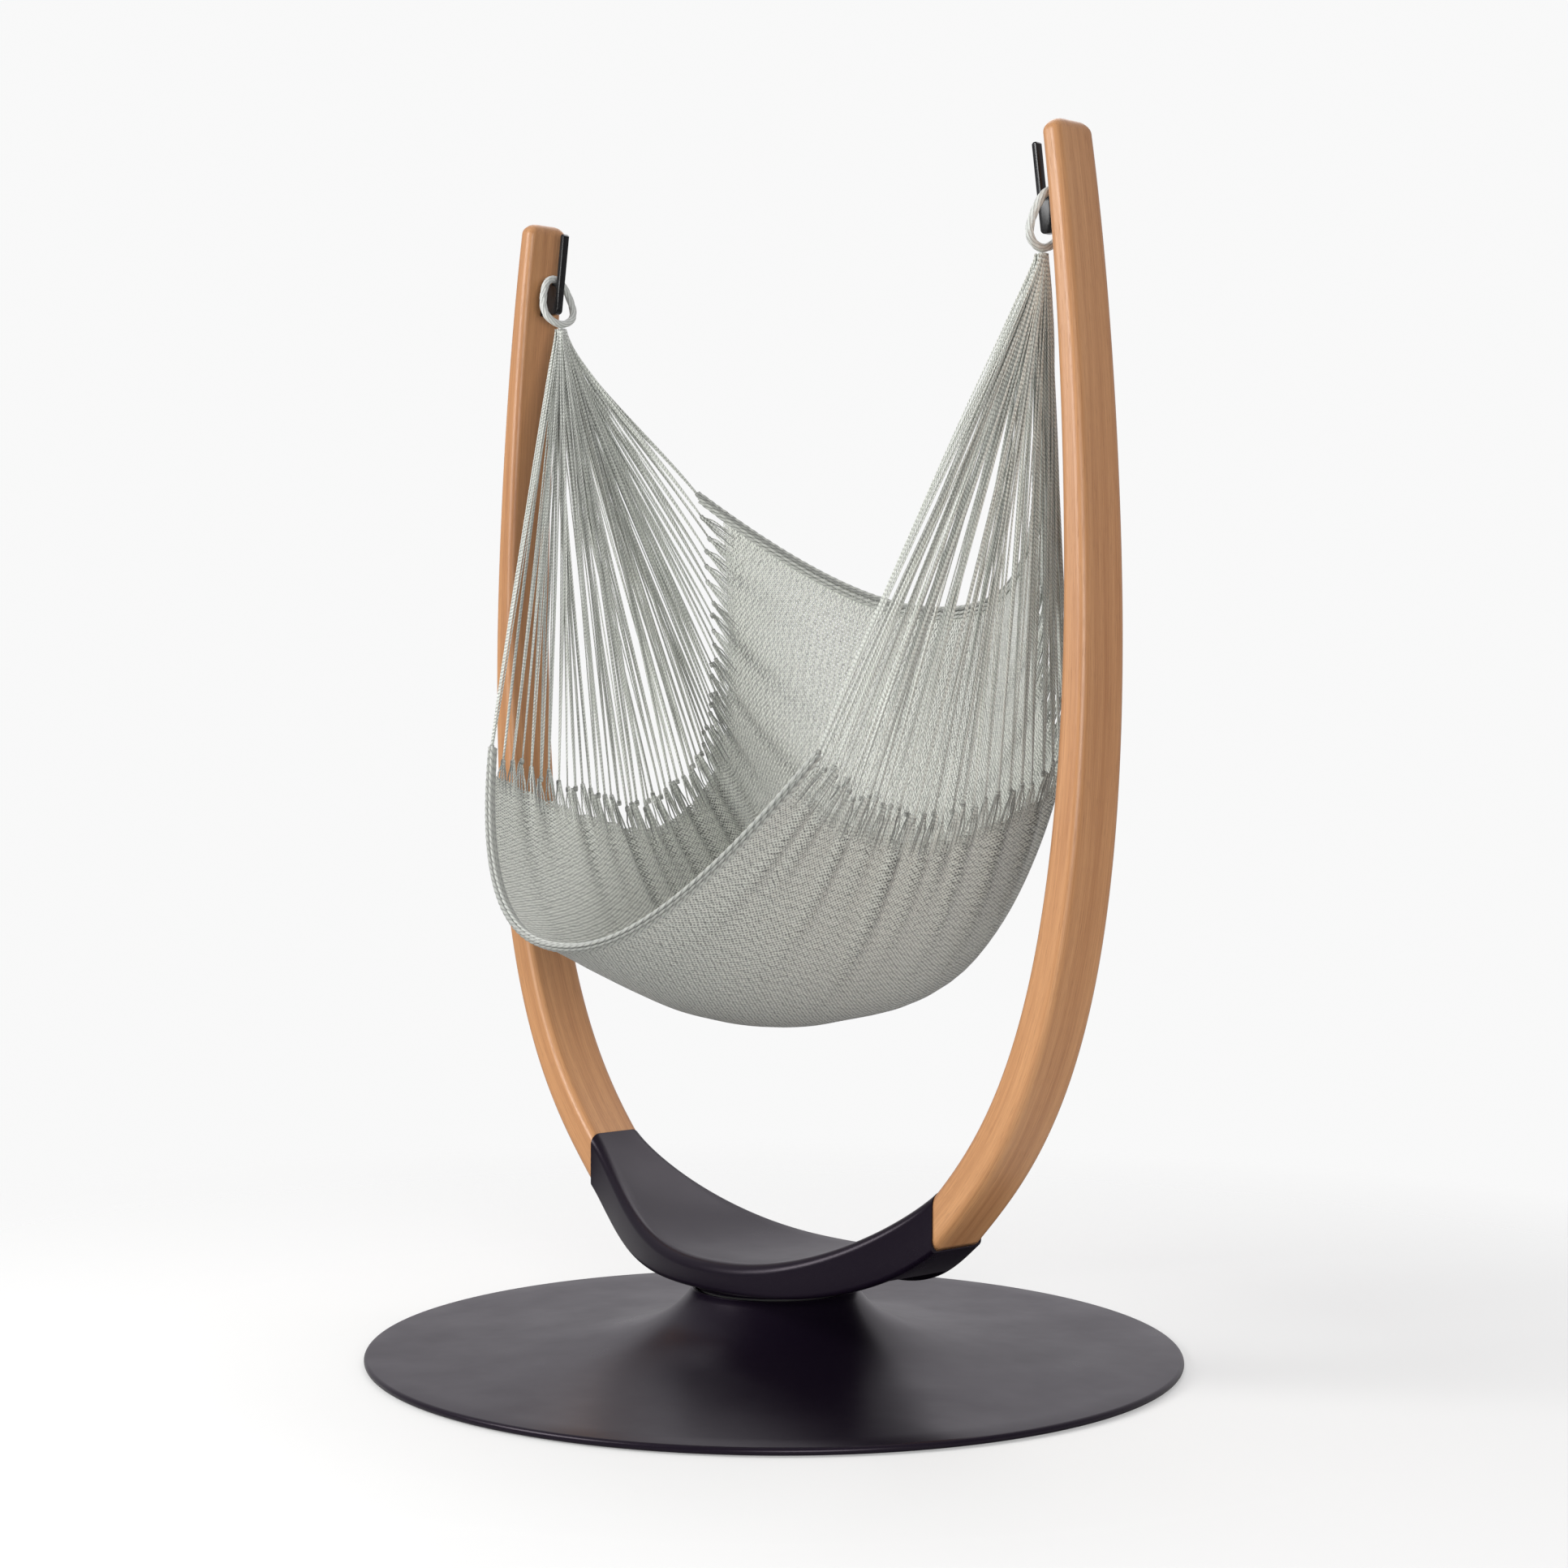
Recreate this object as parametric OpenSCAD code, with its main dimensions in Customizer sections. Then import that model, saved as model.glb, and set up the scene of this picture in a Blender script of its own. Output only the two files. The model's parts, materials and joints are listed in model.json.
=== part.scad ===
// Hammock chair on a swivelling stand.
// Origin: centre of the footprint, on the floor. +Z up, +X to the right arm,
// -Y to the front of the seat. Millimetres.

/* [Base] */
// Radius of the round foot
base_r = 610; // [480:5:760]
// Height of the foot's rolled rim above the floor
rim_h = 13; // [12:0.5:24]
// Space between the rim's lower edge and the floor
rim_clear = 2; // [1:0.5:4]
// Wall of the spun foot
shell_t = 4; // [3:0.5:5]
// Outer radius of the neck at its top
neck_r = 124; // [122:1:160]
// Height of the neck's top
neck_h = 104; // [102:1:125]
// Straight inner land of the neck, which grips the bearing housing
neck_land = 28; // [20:1:28]
// Wall of the neck at its land
neck_wall = 4; // [3:0.5:8]
// Thickness of the steel ballast plate that closes the foot
plate_t = 5; // [4:0.5:5.5]
// Distance from the rim to the ballast plate's edge
plate_inset = 32; // [24:1:80]
// Number of rubber floor pads
pad_count = 8; // [4:1:12]
// Radius of a floor pad
pad_r = 26; // [15:1:40]
// Thickness of a floor pad
pad_t = 3; // [2.5:0.5:5]
// Distance from the rim to the pads' centres
pad_inset = 74; // [70:1:160]

/* [Swivel] */
// Spindle diameter, the bore of both ball bearings
spindle_d = 60; // [50:1:64]
// Outer diameter of the ball bearings
bearing_d = 110; // [104:1:118]
// Width of a ball bearing
bearing_w = 22; // [18:1:24]
// Diameter of a bearing ball
ball_d = 16; // [12:0.5:17]
// Radial gap between a ball and its groove
ball_gap = 0.05; // [0.02:0.01:0.1]
// Balls in each bearing
ball_count = 9; // [6:1:10]
// Height of the lower bearing's lower face
lower_bearing_z = 22; // [21:1:26]
// Wall of the bearing housing's tube
housing_wall = 10; // [6:1:14]
// Thickness of the housing's two flanges
housing_flange_t = 8; // [6:1:10]
// Radius of the housing's foot flange
housing_foot_r = 105; // [98:1:140]
// Number of screws that hold the housing to the ballast plate
housing_screw_count = 6; // [4:1:8]
// Thickness of the spindle's top flange
spindle_flange_t = 12; // [8:1:14]
// Radius of the spindle's top flange
spindle_flange_r = 112; // [108:1:116]
// Gap between the neck's top and the yoke's hub
hub_gap = 3; // [2:0.5:8]
// Radius of the yoke's hub
hub_r = 121; // [116:1:140]
// Circle radius of the bolts that join spindle and yoke
hub_bolt_circle_r = 92; // [84:1:100]
// Number of bolts that join spindle and yoke
hub_bolt_count = 6; // [4:1:8]
// Diameter of the hub bolts
hub_bolt_d = 10; // [8:1:12]
// Radius of the spindle's locating spigot
spigot_r = 20; // [12:1:30]

/* [Yoke] */
// Distance from the centre to each arm's joint
cut_x = 378; // [340:1:430]
// Rise of each arm's joint centre above the yoke's underside
joint_rise = 137; // [125:1:180]
// Height of the round hub under the yoke
hub_rise = 9; // [6:1:14]
// Height of the yoke's side at the middle
yoke_depth = 44; // [38:1:58]
// Half of the yoke's width at the middle
yoke_half_w = 145; // [138:1:180]
// Depth of the dished upper surface at the middle
yoke_dish = 5; // [1:0.5:10]
// Rounding of the upper rims
yoke_round = 17; // [10:1:19]
// Rounding of the lower edges
yoke_edge = 8; // [3:1:10]
// Wall left round the hollows under the yoke
yoke_wall = 13; // [8:1:18]
// Skin left above the hollows under the yoke
yoke_skin = 14; // [10:1:20]
// How far the yoke stands proud of the wood at the joint
socket_lip = 2; // [1:0.5:4]

/* [Arms] */
// Height of the arms' tips
arm_h = 1758; // [1500:5:2150]
// Distance from the centre to each arm's tip
tip_x = 569; // [480:1:690]
// Distance from the centre to each arm where the arms are widest apart
belly_x = 624; // [520:1:755]
// Height at which the arms are widest apart
belly_z = 1080; // [900:5:1300]
// Rise of the arms where they leave the yoke, in degrees
arm_start_angle = 46; // [40:1:52]
// Inward lean of the arms at their tips, in degrees
arm_lean = 9.5; // [3:0.5:14]
// Thickness of an arm at the yoke
arm_t_low = 56; // [50:1:60]
// Thickness of an arm at its tip
arm_t_high = 31; // [29:1:45]
// Width of an arm at the yoke
arm_w_low = 97; // [86:1:110]
// Width of an arm at its tip
arm_w_high = 77; // [60:1:90]
// Rounding along the arms' edges
arm_round = 12; // [4:1:13]
// Length over which the tips are rounded off
tip_round_h = 17; // [8:1:24]
// Length of the tenon that enters the yoke
tenon_len = 66; // [50:1:70]
// Thickness of the tenon
tenon_t = 28; // [22:1:30]
// Width of the tenon
tenon_w = 70; // [60:1:76]
// Slope of the tenon, in degrees
tenon_angle = 42; // [38:1:46]
// Gap round the tenon in its socket
socket_gap = 0.15; // [0.1:0.05:0.4]
// Diameter of the bolts that hold the tenons
arm_bolt_d = 8; // [6:1:10]
// Spacing of the two bolts in each tenon
arm_bolt_spacing = 40; // [32:1:44]
// Distance from the joint face to the bolts, along the tenon
arm_bolt_setback = 34; // [30:1:40]

/* [Hooks] */
// Distance from an arm's tip down to the seat of the loop on the hook
hook_drop = 95; // [92:1:300]
// Gap between the wood and the prong
hook_gap = 36; // [30:1:60]
// Thickness of the hook's plate
hook_t = 12; // [11:0.5:16]
// Width of the prong
prong_w = 9; // [6:0.5:14]
// Height of the prong above the seat of the loop
prong_h = 75; // [50:1:76]
// Depth of the hook's bridge
bridge_h = 52; // [36:1:56]
// How deep the hook is let into the wood
hook_inlet = 8; // [4:1:10]
// Diameter of the hook screws
hook_screw_d = 5; // [4:0.5:6]

/* [Hammock] */
// Diameter of the hanging loops' rope
loop_d = 12; // [8:1:14]
// Distance from the hook's prong to the loop's rope
loop_side_gap = 5; // [4:1:18]
// Gap between a loop and the hook that carries it
loop_gap = 0.4; // [0.2:0.1:1]
// Thickness of the cloth at the front rim
cloth_t_front = 12; // [6:0.5:13]
// Thickness of the cloth at the back rim
cloth_t_back = 3; // [2.5:0.5:6]
// Diameter of the corded selvedges
edge_d = 13; // [8:1:18]
// Thickness of the string curtains
strings_t = 3; // [2:0.5:5]
// Radius of the whipping that gathers the strings
binding_r = 10; // [8:1:14]
// Length of the whipping
binding_h = 24; // [16:1:34]

/* [Hidden] */
$fn = 96;

black = [0.13, 0.12, 0.14];
steel = [0.62, 0.63, 0.65];
oak = [0.78, 0.56, 0.36];
yarn = [0.70, 0.72, 0.68];
rubber_black = [0.06, 0.06, 0.06];

// ---- general curves and solids ----

function mix(a, b, s) = a + (b - a) * s;
function unit(v) = v / norm(v);
function flat_list(rows) = [for (row = rows) for (item = row) item];
function reversed(list) = [for (i = [len(list) - 1:-1:0]) list[i]];

// Smooth curve through a list of points; t runs from 0 at the first to 1 at the last
function through(points, t) =
    let (
        last = len(points) - 1,
        k = min(last - 1, floor(t * last)),
        s = t * last - k,
        a = points[k],
        b = points[k + 1],
        before = k > 0 ? points[k - 1] : 2 * a - b,
        after = k < last - 1 ? points[k + 2] : 2 * b - a
    )
    (2 * a + (b - before) * s + (2 * before - 5 * a + 4 * b - after) * s * s
        + (3 * a - before - 3 * b + after) * s * s * s) / 2;

function bezier(p, t) =
    p[0] * pow(1 - t, 3) + 3 * p[1] * t * pow(1 - t, 2) + 3 * p[2] * t * t * (1 - t) + p[3] * pow(t, 3);

// Solid skin over a list of rings, with flat ends, or closed on itself
module loft(rings, closed = false) {
    n = len(rings[0]);
    m = len(rings);
    spans = closed ? m : m - 1;
    sides = [for (i = [0:spans - 1]) for (j = [0:n - 1])
        let (a = i * n + j, b = i * n + (j + 1) % n, c = ((i + 1) % m) * n + j, d = ((i + 1) % m) * n + (j + 1) % n)
        each [[a, c, b], [b, c, d]]];
    ends = closed ? [] : [[for (j = [0:n - 1]) j], [for (j = [n - 1:-1:0]) (m - 1) * n + j]];
    polyhedron(points = flat_list(rings), faces = concat(sides, ends));
}

// Thin solid between two grids of points that lie face to face
module sheet(front, back) {
    m = len(front);
    n = len(front[0]);
    side = m * n;
    quads = [for (i = [0:m - 2]) for (j = [0:n - 2]) [i * n + j, i * n + j + 1, (i + 1) * n + j + 1, (i + 1) * n + j]];
    rim = concat([for (j = [0:n - 2]) [j, j + 1]],
        [for (i = [0:m - 2]) [i * n + n - 1, (i + 1) * n + n - 1]],
        [for (j = [n - 1:-1:1]) [(m - 1) * n + j, (m - 1) * n + j - 1]],
        [for (i = [m - 1:-1:1]) [i * n, (i - 1) * n]]);
    faces = concat(
        [for (q = quads) each [[q[0], q[1], q[2]], [q[0], q[2], q[3]]]],
        [for (q = quads) each [[side + q[2], side + q[1], side + q[0]], [side + q[3], side + q[2], side + q[0]]]],
        [for (e = rim) each [[e[1], e[0], side + e[0]], [e[1], side + e[0], side + e[1]]]]);
    polyhedron(points = concat(flat_list(front), flat_list(back)), faces = faces);
}

// Rings of a round cord that follows a list of points in space
function cord_rings(path, radius, sides, closed = false) =
    let (m = len(path))
    [for (i = [0:m - 1])
        let (
            ahead = path[closed ? (i + 1) % m : min(i + 1, m - 1)],
            behind = path[closed ? (i + m - 1) % m : max(i - 1, 0)],
            along = unit(ahead - behind),
            across = unit(cross(along, abs(along.x) < 0.9 ? [1, 0, 0] : [0, 1, 0])),
            upward = cross(along, across)
        )
        [for (k = [0:sides - 1]) path[i] + radius * (cos(k * 360 / sides) * across + sin(k * 360 / sides) * upward)]];

module ring(outer, inner, low, high) {
    difference() {
        translate([0, 0, low]) cylinder(r = outer, h = high - low);
        translate([0, 0, low - 1]) cylinder(r = inner, h = high - low + 2);
    }
}

module around(count, radius, turn = 0) {
    for (k = [0:count - 1]) rotate([0, 0, turn + k * 360 / count]) translate([radius, 0, 0]) children();
}

module both_sides() {
    children();
    mirror([1, 0, 0]) children();
}

// ---- the foot ----

plate_low = pad_t;
plate_high = plate_low + plate_t;
plate_r = base_r - plate_inset;
neck_in = neck_r - neck_wall;
// Height of the foot's upper surface at radius r: a trumpet, steep at the neck
function flare(r) = rim_h + (neck_h - rim_h)
    * (pow(r, -2) - pow(base_r, -2)) / (pow(neck_r, -2) - pow(base_r, -2));
// Height of the foot's inner surface
function under_flare(r) = flare(r + shell_t) - shell_t;
rim_roll = (rim_h - rim_clear) / 2;
flare_r = [for (k = [0:18]) mix(base_r - rim_roll, neck_r, pow(k / 18, 0.6))];
land_low = neck_h - neck_land;
// Where the inner surface meets the underside of the land
under_start = neck_r * sqrt((neck_h - rim_h) / (land_low + shell_t - rim_h)) - shell_t;
under_end = plate_r + 8;

module base_disc() {
    color(black) rotate_extrude() polygon(concat(
        [for (a = [-60:30:60]) [base_r - rim_roll + rim_roll * cos(a), rim_clear + rim_roll + rim_roll * sin(a)]],
        [for (r = flare_r) [r, flare(r)]],
        [[neck_in, neck_h], [neck_in, land_low]],
        [for (k = [0:14]) let (r = mix(under_start, under_end, pow(k / 14, 1.6))) [r, under_flare(r)]],
        [[under_end, rim_clear]]));
}

housing_screw_r = 82;
housing_screw_d = 8;
housing_head_d = 15;
housing_head_t = 3;

module ballast_plate() {
    color(steel) difference() {
        ring(plate_r, bearing_d / 2 - 15, plate_low, plate_high);
        around(housing_screw_count, housing_screw_r) {
            translate([0, 0, plate_low - 1]) cylinder(d = housing_screw_d + 0.6, h = plate_t + 2);
            translate([0, 0, plate_low - 1]) cylinder(d = housing_head_d + 0.6, h = housing_head_t + 1.2);
        }
    }
}

module floor_pads() {
    color(rubber_black) around(pad_count, base_r - pad_inset) cylinder(r = pad_r, h = pad_t);
}

// ---- the swivel ----

lower_bearing_top = lower_bearing_z + bearing_w;
hub_low = neck_h + hub_gap;
spindle_flange_low = hub_low - spindle_flange_t;
seal_t = 4.5;
seal_clear = 0.5;
housing_top = spindle_flange_low - seal_t - seal_clear;
upper_bearing_top = housing_top - 2;
upper_bearing_z = upper_bearing_top - bearing_w;
race_shoulder = 5;
pitch_r = (spindle_d + bearing_d) / 4;
race_wall = (bearing_d - spindle_d) / 2 * 0.3;

module bearing_housing() {
    tube_r = bearing_d / 2 + housing_wall;
    color(steel) difference() {
        union() {
            translate([0, 0, plate_high]) cylinder(r = tube_r, h = housing_top - plate_high);
            translate([0, 0, plate_high]) cylinder(r = housing_foot_r, h = housing_flange_t);
            translate([0, 0, land_low]) cylinder(r = neck_in, h = housing_flange_t);
        }
        translate([0, 0, plate_high - 1]) cylinder(d = bearing_d, h = lower_bearing_top - plate_high + 1);
        translate([0, 0, upper_bearing_z]) cylinder(d = bearing_d, h = housing_top - upper_bearing_z + 1);
        translate([0, 0, plate_high - 1]) cylinder(r = bearing_d / 2 - race_shoulder, h = housing_top);
        around(housing_screw_count, housing_screw_r)
            translate([0, 0, plate_high - 1]) cylinder(d = housing_screw_d, h = housing_flange_t + 2);
    }
}

module housing_screws() {
    color(steel) around(housing_screw_count, housing_screw_r) {
        translate([0, 0, plate_low]) cylinder(d = housing_head_d, h = housing_head_t);
        translate([0, 0, plate_low]) cylinder(d = housing_screw_d, h = plate_t + housing_flange_t);
    }
}

module race(low, inner, outer) {
    rotate_extrude() difference() {
        translate([inner, low]) square([outer - inner, bearing_w]);
        translate([pitch_r, low + bearing_w / 2]) circle(r = ball_d / 2 + ball_gap);
    }
}

module outer_race(low) {
    color(steel) race(low, bearing_d / 2 - race_wall, bearing_d / 2);
}

module inner_race(low) {
    color(steel) race(low, spindle_d / 2, spindle_d / 2 + race_wall);
}

module balls(low) {
    color(steel) around(ball_count, pitch_r) translate([0, 0, low + bearing_w / 2]) sphere(d = ball_d);
}

thread_d = spindle_d - 8;
nut_t = 8;
washer_t = 2;
washer_low = lower_bearing_z - washer_t;
nut_low = washer_low - nut_t;
nut_r = spindle_d / 2 + 8;
shoulder_r = spindle_d / 2 + 6;
spigot_h = 8;
hub_bolt_clear = 0.5;
hub_bolt_head_t = 6;
hub_bolt_head_d = hub_bolt_d * 1.7;
hub_bolt_depth = 24;

module spindle() {
    color(steel) difference() {
        union() {
            translate([0, 0, nut_low]) cylinder(d = thread_d, h = nut_t + washer_t + 1);
            translate([0, 0, lower_bearing_z]) cylinder(d = spindle_d, h = upper_bearing_top - lower_bearing_z);
            translate([0, 0, upper_bearing_top]) cylinder(r = shoulder_r, h = hub_low - upper_bearing_top);
            translate([0, 0, spindle_flange_low]) cylinder(r = spindle_flange_r, h = spindle_flange_t);
            translate([0, 0, hub_low]) cylinder(r = spigot_r, h = spigot_h);
        }
        around(hub_bolt_count, hub_bolt_circle_r)
            translate([0, 0, spindle_flange_low - 1])
                cylinder(r = hub_bolt_d / 2 + hub_bolt_clear, h = spindle_flange_t + 2);
    }
}

module spacer_sleeve() {
    color(steel) ring(spindle_d / 2 + race_wall - 1, spindle_d / 2, lower_bearing_top, upper_bearing_z);
}

module dust_seal() {
    color(rubber_black) ring(bearing_d / 2 + housing_wall - 2, shoulder_r, spindle_flange_low - seal_t, spindle_flange_low);
}

module lock_washer() {
    color(steel) ring(nut_r - 1, thread_d / 2, washer_low, lower_bearing_z);
}

module lock_nut() {
    notch = 5;
    color(steel) difference() {
        ring(nut_r, thread_d / 2, nut_low, washer_low);
        around(4, nut_r) translate([0, 0, nut_low - 1]) cylinder(r = notch, h = nut_t + 2);
    }
}

module hub_bolts() {
    color(steel) around(hub_bolt_count, hub_bolt_circle_r) {
        translate([0, 0, spindle_flange_low - hub_bolt_head_t]) cylinder(d = hub_bolt_head_d, h = hub_bolt_head_t, $fn = 6);
        translate([0, 0, spindle_flange_low - hub_bolt_head_t])
            cylinder(d = hub_bolt_d, h = hub_bolt_head_t + spindle_flange_t + hub_bolt_depth);
    }
}

// ---- the yoke ----

yoke_low = hub_low + hub_rise;
yoke_high = yoke_low + yoke_depth;
cut_z = yoke_low + joint_rise;
joint_half_h = arm_t_low / 2 / cos(arm_start_angle) + socket_lip;
yoke_end_low = cut_z - joint_half_h;
yoke_end_high = cut_z + joint_half_h;
yoke_end_w = arm_w_low / 2 + socket_lip;
// Lower and upper heights and half width of the yoke at distance x from the middle
function yoke_under(x) = yoke_low + (yoke_end_low - yoke_low) * pow(abs(x) / cut_x, 3.2);
function yoke_over(x) = yoke_high + (yoke_end_high - yoke_high) * pow(abs(x) / cut_x, 2.3);
function yoke_width(x) = yoke_end_w + (yoke_half_w - yoke_end_w) * pow(1 - pow(x / cut_x, 2), 1.5);

function yoke_section(x) =
    let (
        w = yoke_width(x),
        low = yoke_under(x),
        high = yoke_over(x),
        dish = yoke_dish * (1 - pow(abs(x) / cut_x, 2)),
        half = concat(
            [for (a = [0:30:90]) [w - yoke_edge + yoke_edge * sin(a), low + yoke_edge - yoke_edge * cos(a)]],
            [for (a = [0:18:90]) [w - yoke_round + yoke_round * cos(a), high - yoke_round + yoke_round * sin(a)]],
            [[(w - yoke_round) * 0.72, high - dish * 0.55], [(w - yoke_round) * 0.36, high - dish * 0.9]])
    )
    [for (p = concat(half, [[0, high - dish]], [for (q = reversed(half)) [-q.x, q.y]])) [x, p.x, p.y]];

// One hollow under the yoke, between the hub and a socket
hollow_from = hub_r + 10;
hollow_to = cut_x - tenon_len - 10;

function hollow_section(x) =
    let (
        w = yoke_width(x) - yoke_wall,
        low = yoke_under(x) - 5,
        high = yoke_over(x) - yoke_skin,
        r = 10,
        half = concat([[w, low]], [for (a = [0:30:90]) [w - r + r * cos(a), high - r + r * sin(a)]])
    )
    [for (p = concat(half, [for (q = reversed(half)) [-q.x, q.y]])) [x, p.x, p.y]];

// Moves a child to the right arm's joint, with its own +X along the tenon, out of the yoke
module at_joint() {
    translate([cut_x, 0, cut_z]) rotate([0, -tenon_angle, 0]) children();
}

arm_bolt_clear = 0.3;
insert_wall = 2.5;
insert_len = 16;
insert_r = arm_bolt_d / 2 + insert_wall;
arm_head_t = 4;
arm_head_r = arm_bolt_d * 0.85;
// Distance from the tenon's middle to the seat of the bolt heads
arm_head_seat = tenon_t / 2 + 5;
arm_bolt_reach = 60;

module at_arm_bolts() {
    for (side = [-1, 1]) at_joint() translate([-arm_bolt_setback, side * arm_bolt_spacing / 2, 0]) children();
}

module yoke() {
    stations = [for (k = [-20:20]) cut_x * sin(90 * k / 20 * 0.999) / sin(90 * 0.999)];
    color(black) difference() {
        union() {
            loft([for (x = stations) yoke_section(x)]);
            translate([0, 0, hub_low]) cylinder(r = hub_r, h = yoke_low - hub_low + 6);
        }
        translate([0, 0, hub_low - 1]) cylinder(r = spigot_r + 0.1, h = spigot_h + 2);
        around(hub_bolt_count, hub_bolt_circle_r)
            translate([0, 0, hub_low - 1]) cylinder(d = hub_bolt_d, h = hub_bolt_depth + 1);
        both_sides() {
            loft([for (k = [0:8]) hollow_section(mix(hollow_from, hollow_to, k / 8))]);
            at_joint() translate([-tenon_len - 1, -tenon_w / 2 - socket_gap, -tenon_t / 2 - socket_gap])
                cube([tenon_len + 41, tenon_w + 2 * socket_gap, tenon_t + 2 * socket_gap]);
            at_arm_bolts() {
                translate([0, 0, -arm_bolt_reach]) cylinder(r = arm_bolt_d / 2 + arm_bolt_clear, h = arm_bolt_reach);
                translate([0, 0, -arm_bolt_reach]) cylinder(r = arm_head_r + 0.5, h = arm_bolt_reach - arm_head_seat);
            }
        }
    }
}

// ---- the arms ----

start = [cut_x, cut_z];
belly = [belly_x, belly_z];
tip = [tip_x, arm_h];
lower_run = norm(belly - start);
upper_run = norm(tip - belly);
lower_curve = [start, start + 0.18 * lower_run * [cos(arm_start_angle), sin(arm_start_angle)],
    belly - [0, 0.645 * lower_run], belly];
upper_curve = [belly, belly + [0, 0.165 * upper_run], tip - 0.41 * upper_run * [-sin(arm_lean), cos(arm_lean)], tip];
// Centre of the arm: t runs from 0 at the yoke, through 1 at the widest place, to 2 at the tip
function arm_centre(t) = t < 1 ? bezier(lower_curve, t) : bezier(upper_curve, t - 1);
step = 0.002;
function arm_direction(t) = unit(arm_centre(min(2, t + step)) - arm_centre(max(0, t - step)));
function arm_share(z) = (z - cut_z) / (arm_h - cut_z);
function arm_half_t(z) = mix(arm_t_low, arm_t_high, arm_share(z)) / 2;
function arm_half_w(z) = mix(arm_w_low, arm_w_high, arm_share(z)) / 2;
tip_round_t = 12;
tip_round_w = 22;
// How much of the tip's rounding has set in at distance e below the end
function tip_fade(e) = e >= tip_round_h ? 0 : 1 - sqrt(1 - pow(1 - e / tip_round_h, 2));

function arm_outline(half_t, half_w) =
    let (r = min(arm_round, half_t - 0.4))
    [for (corner = [[1, -1, 360], [-1, -1, 270], [-1, 1, 180], [1, 1, 90]]) for (a = [0:30:90])
        [corner[0] * (half_t - r) + r * cos(corner[2] - a), corner[1] * (half_w - r) + r * sin(corner[2] - a)]];

function arm_ring(t, drop) =
    let (
        c = arm_centre(t),
        along = arm_direction(t),
        inward = [-along.y, along.x],
        fade = tip_fade(drop),
        outline = arm_outline(arm_half_t(c.y) - tip_round_t * fade, arm_half_w(c.y) - tip_round_w * fade)
    )
    [for (p = outline)
        let (x = c.x + p.x * inward.x, z = c.y + p.x * inward.y, slide = t == 0 ? (cut_x - x) / along.x : 0)
        [x + slide * along.x, p.y, z + slide * along.y]];

end_speed = 3 * 0.41 * upper_run;
tip_drops = [for (a = [0:18:90]) tip_round_h * (1 - sin(a))];
arm_stations = concat([for (k = [0:16]) k / 16], [for (k = [1:9]) 1 + k / 9 * (1 - tip_round_h / end_speed * 1.4)]);

// Arm centre, as height against distance from the middle plane
arm_path = [for (k = [0:80]) let (p = arm_centre(k / 40)) [p.y, p.x]];
function arm_x(z) = lookup(z, arm_path);
// Where the arm's inner face lies at height z
function arm_face(z) = arm_x(z) - arm_half_t(z) / cos(arm_lean * 0.7);

hook_h = arm_h - hook_drop;
bridge_low = hook_h - bridge_h;
seat_r = hook_t / 2;
seat_z = hook_h - seat_r;
prong_top = hook_h + prong_h;
// The prong follows the wood at a constant distance; this is its face towards the wood
function prong_face(z) = arm_face(z) - hook_gap;
hook_corner = 8;
hook_screw_z = [bridge_low + 11, hook_h - 11];
hook_head_d = hook_screw_d * 1.7;
hook_head_t = 5;
hook_screw_hold = 15;

module hook_blank() {
    rotate([90, 0, 0]) linear_extrude(height = hook_t, center = true) polygon([
        [prong_face(bridge_low + hook_corner) - prong_w, bridge_low + hook_corner],
        [prong_face(bridge_low) - prong_w + hook_corner * 0.3, bridge_low + hook_corner * 0.3],
        [prong_face(bridge_low) - prong_w + hook_corner, bridge_low],
        [arm_face(bridge_low) + hook_inlet, bridge_low],
        [arm_face(hook_h) + hook_inlet, seat_z],
        [prong_face(seat_z), seat_z],
        [prong_face(prong_top), prong_top - 2],
        [prong_face(prong_top) - 2, prong_top],
        [prong_face(prong_top) - prong_w + 3, prong_top],
        [prong_face(prong_top) - prong_w, prong_top - 3]]);
}

module hook() {
    difference() {
        union() {
            hook_blank();
            // Rounded seat along the top of the bridge
            translate([prong_face(seat_z) - 1, 0, seat_z]) rotate([0, 90, 0])
                cylinder(r = seat_r, h = arm_face(hook_h) + hook_inlet - prong_face(seat_z) + 1);
        }
        for (z = hook_screw_z) translate([prong_face(z) - prong_w - 1, 0, z]) rotate([0, 90, 0]) {
            cylinder(d = hook_screw_d, h = hook_gap + prong_w + hook_inlet + 20);
            cylinder(d = hook_head_d + 0.4, h = hook_head_t + 1);
        }
    }
}

module arm() {
    inlet_gap = 0.2;
    end_rings = [for (e = tip_drops) arm_ring(2 - e / end_speed, e)];
    difference() {
        union() {
            loft(concat([for (t = arm_stations) arm_ring(t, 1000)], end_rings));
            at_joint() translate([-tenon_len, -tenon_w / 2, -tenon_t / 2]) cube([tenon_len + 34, tenon_w, tenon_t]);
        }
        rotate([90, 0, 0]) linear_extrude(height = hook_t + 2 * inlet_gap, center = true) polygon([
            [arm_face(hook_h) - 20, bridge_low - inlet_gap],
            [arm_face(bridge_low) + hook_inlet + inlet_gap, bridge_low - inlet_gap],
            [arm_face(hook_h) + hook_inlet + inlet_gap, hook_h + inlet_gap],
            [arm_face(hook_h) - 20, hook_h + inlet_gap]]);
        for (z = hook_screw_z) translate([arm_face(z) - 10, 0, z]) rotate([0, 90, 0])
            cylinder(d = hook_screw_d, h = 10 + hook_inlet + hook_screw_hold);
        at_arm_bolts() {
            translate([0, 0, -tenon_t / 2 - 1]) cylinder(r = arm_bolt_d / 2 + arm_bolt_clear, h = tenon_t - insert_len + 2);
            translate([0, 0, tenon_t / 2 - insert_len]) cylinder(r = insert_r, h = insert_len + 1);
        }
    }
}

module right_arm() {
    color(oak) arm();
}

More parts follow.
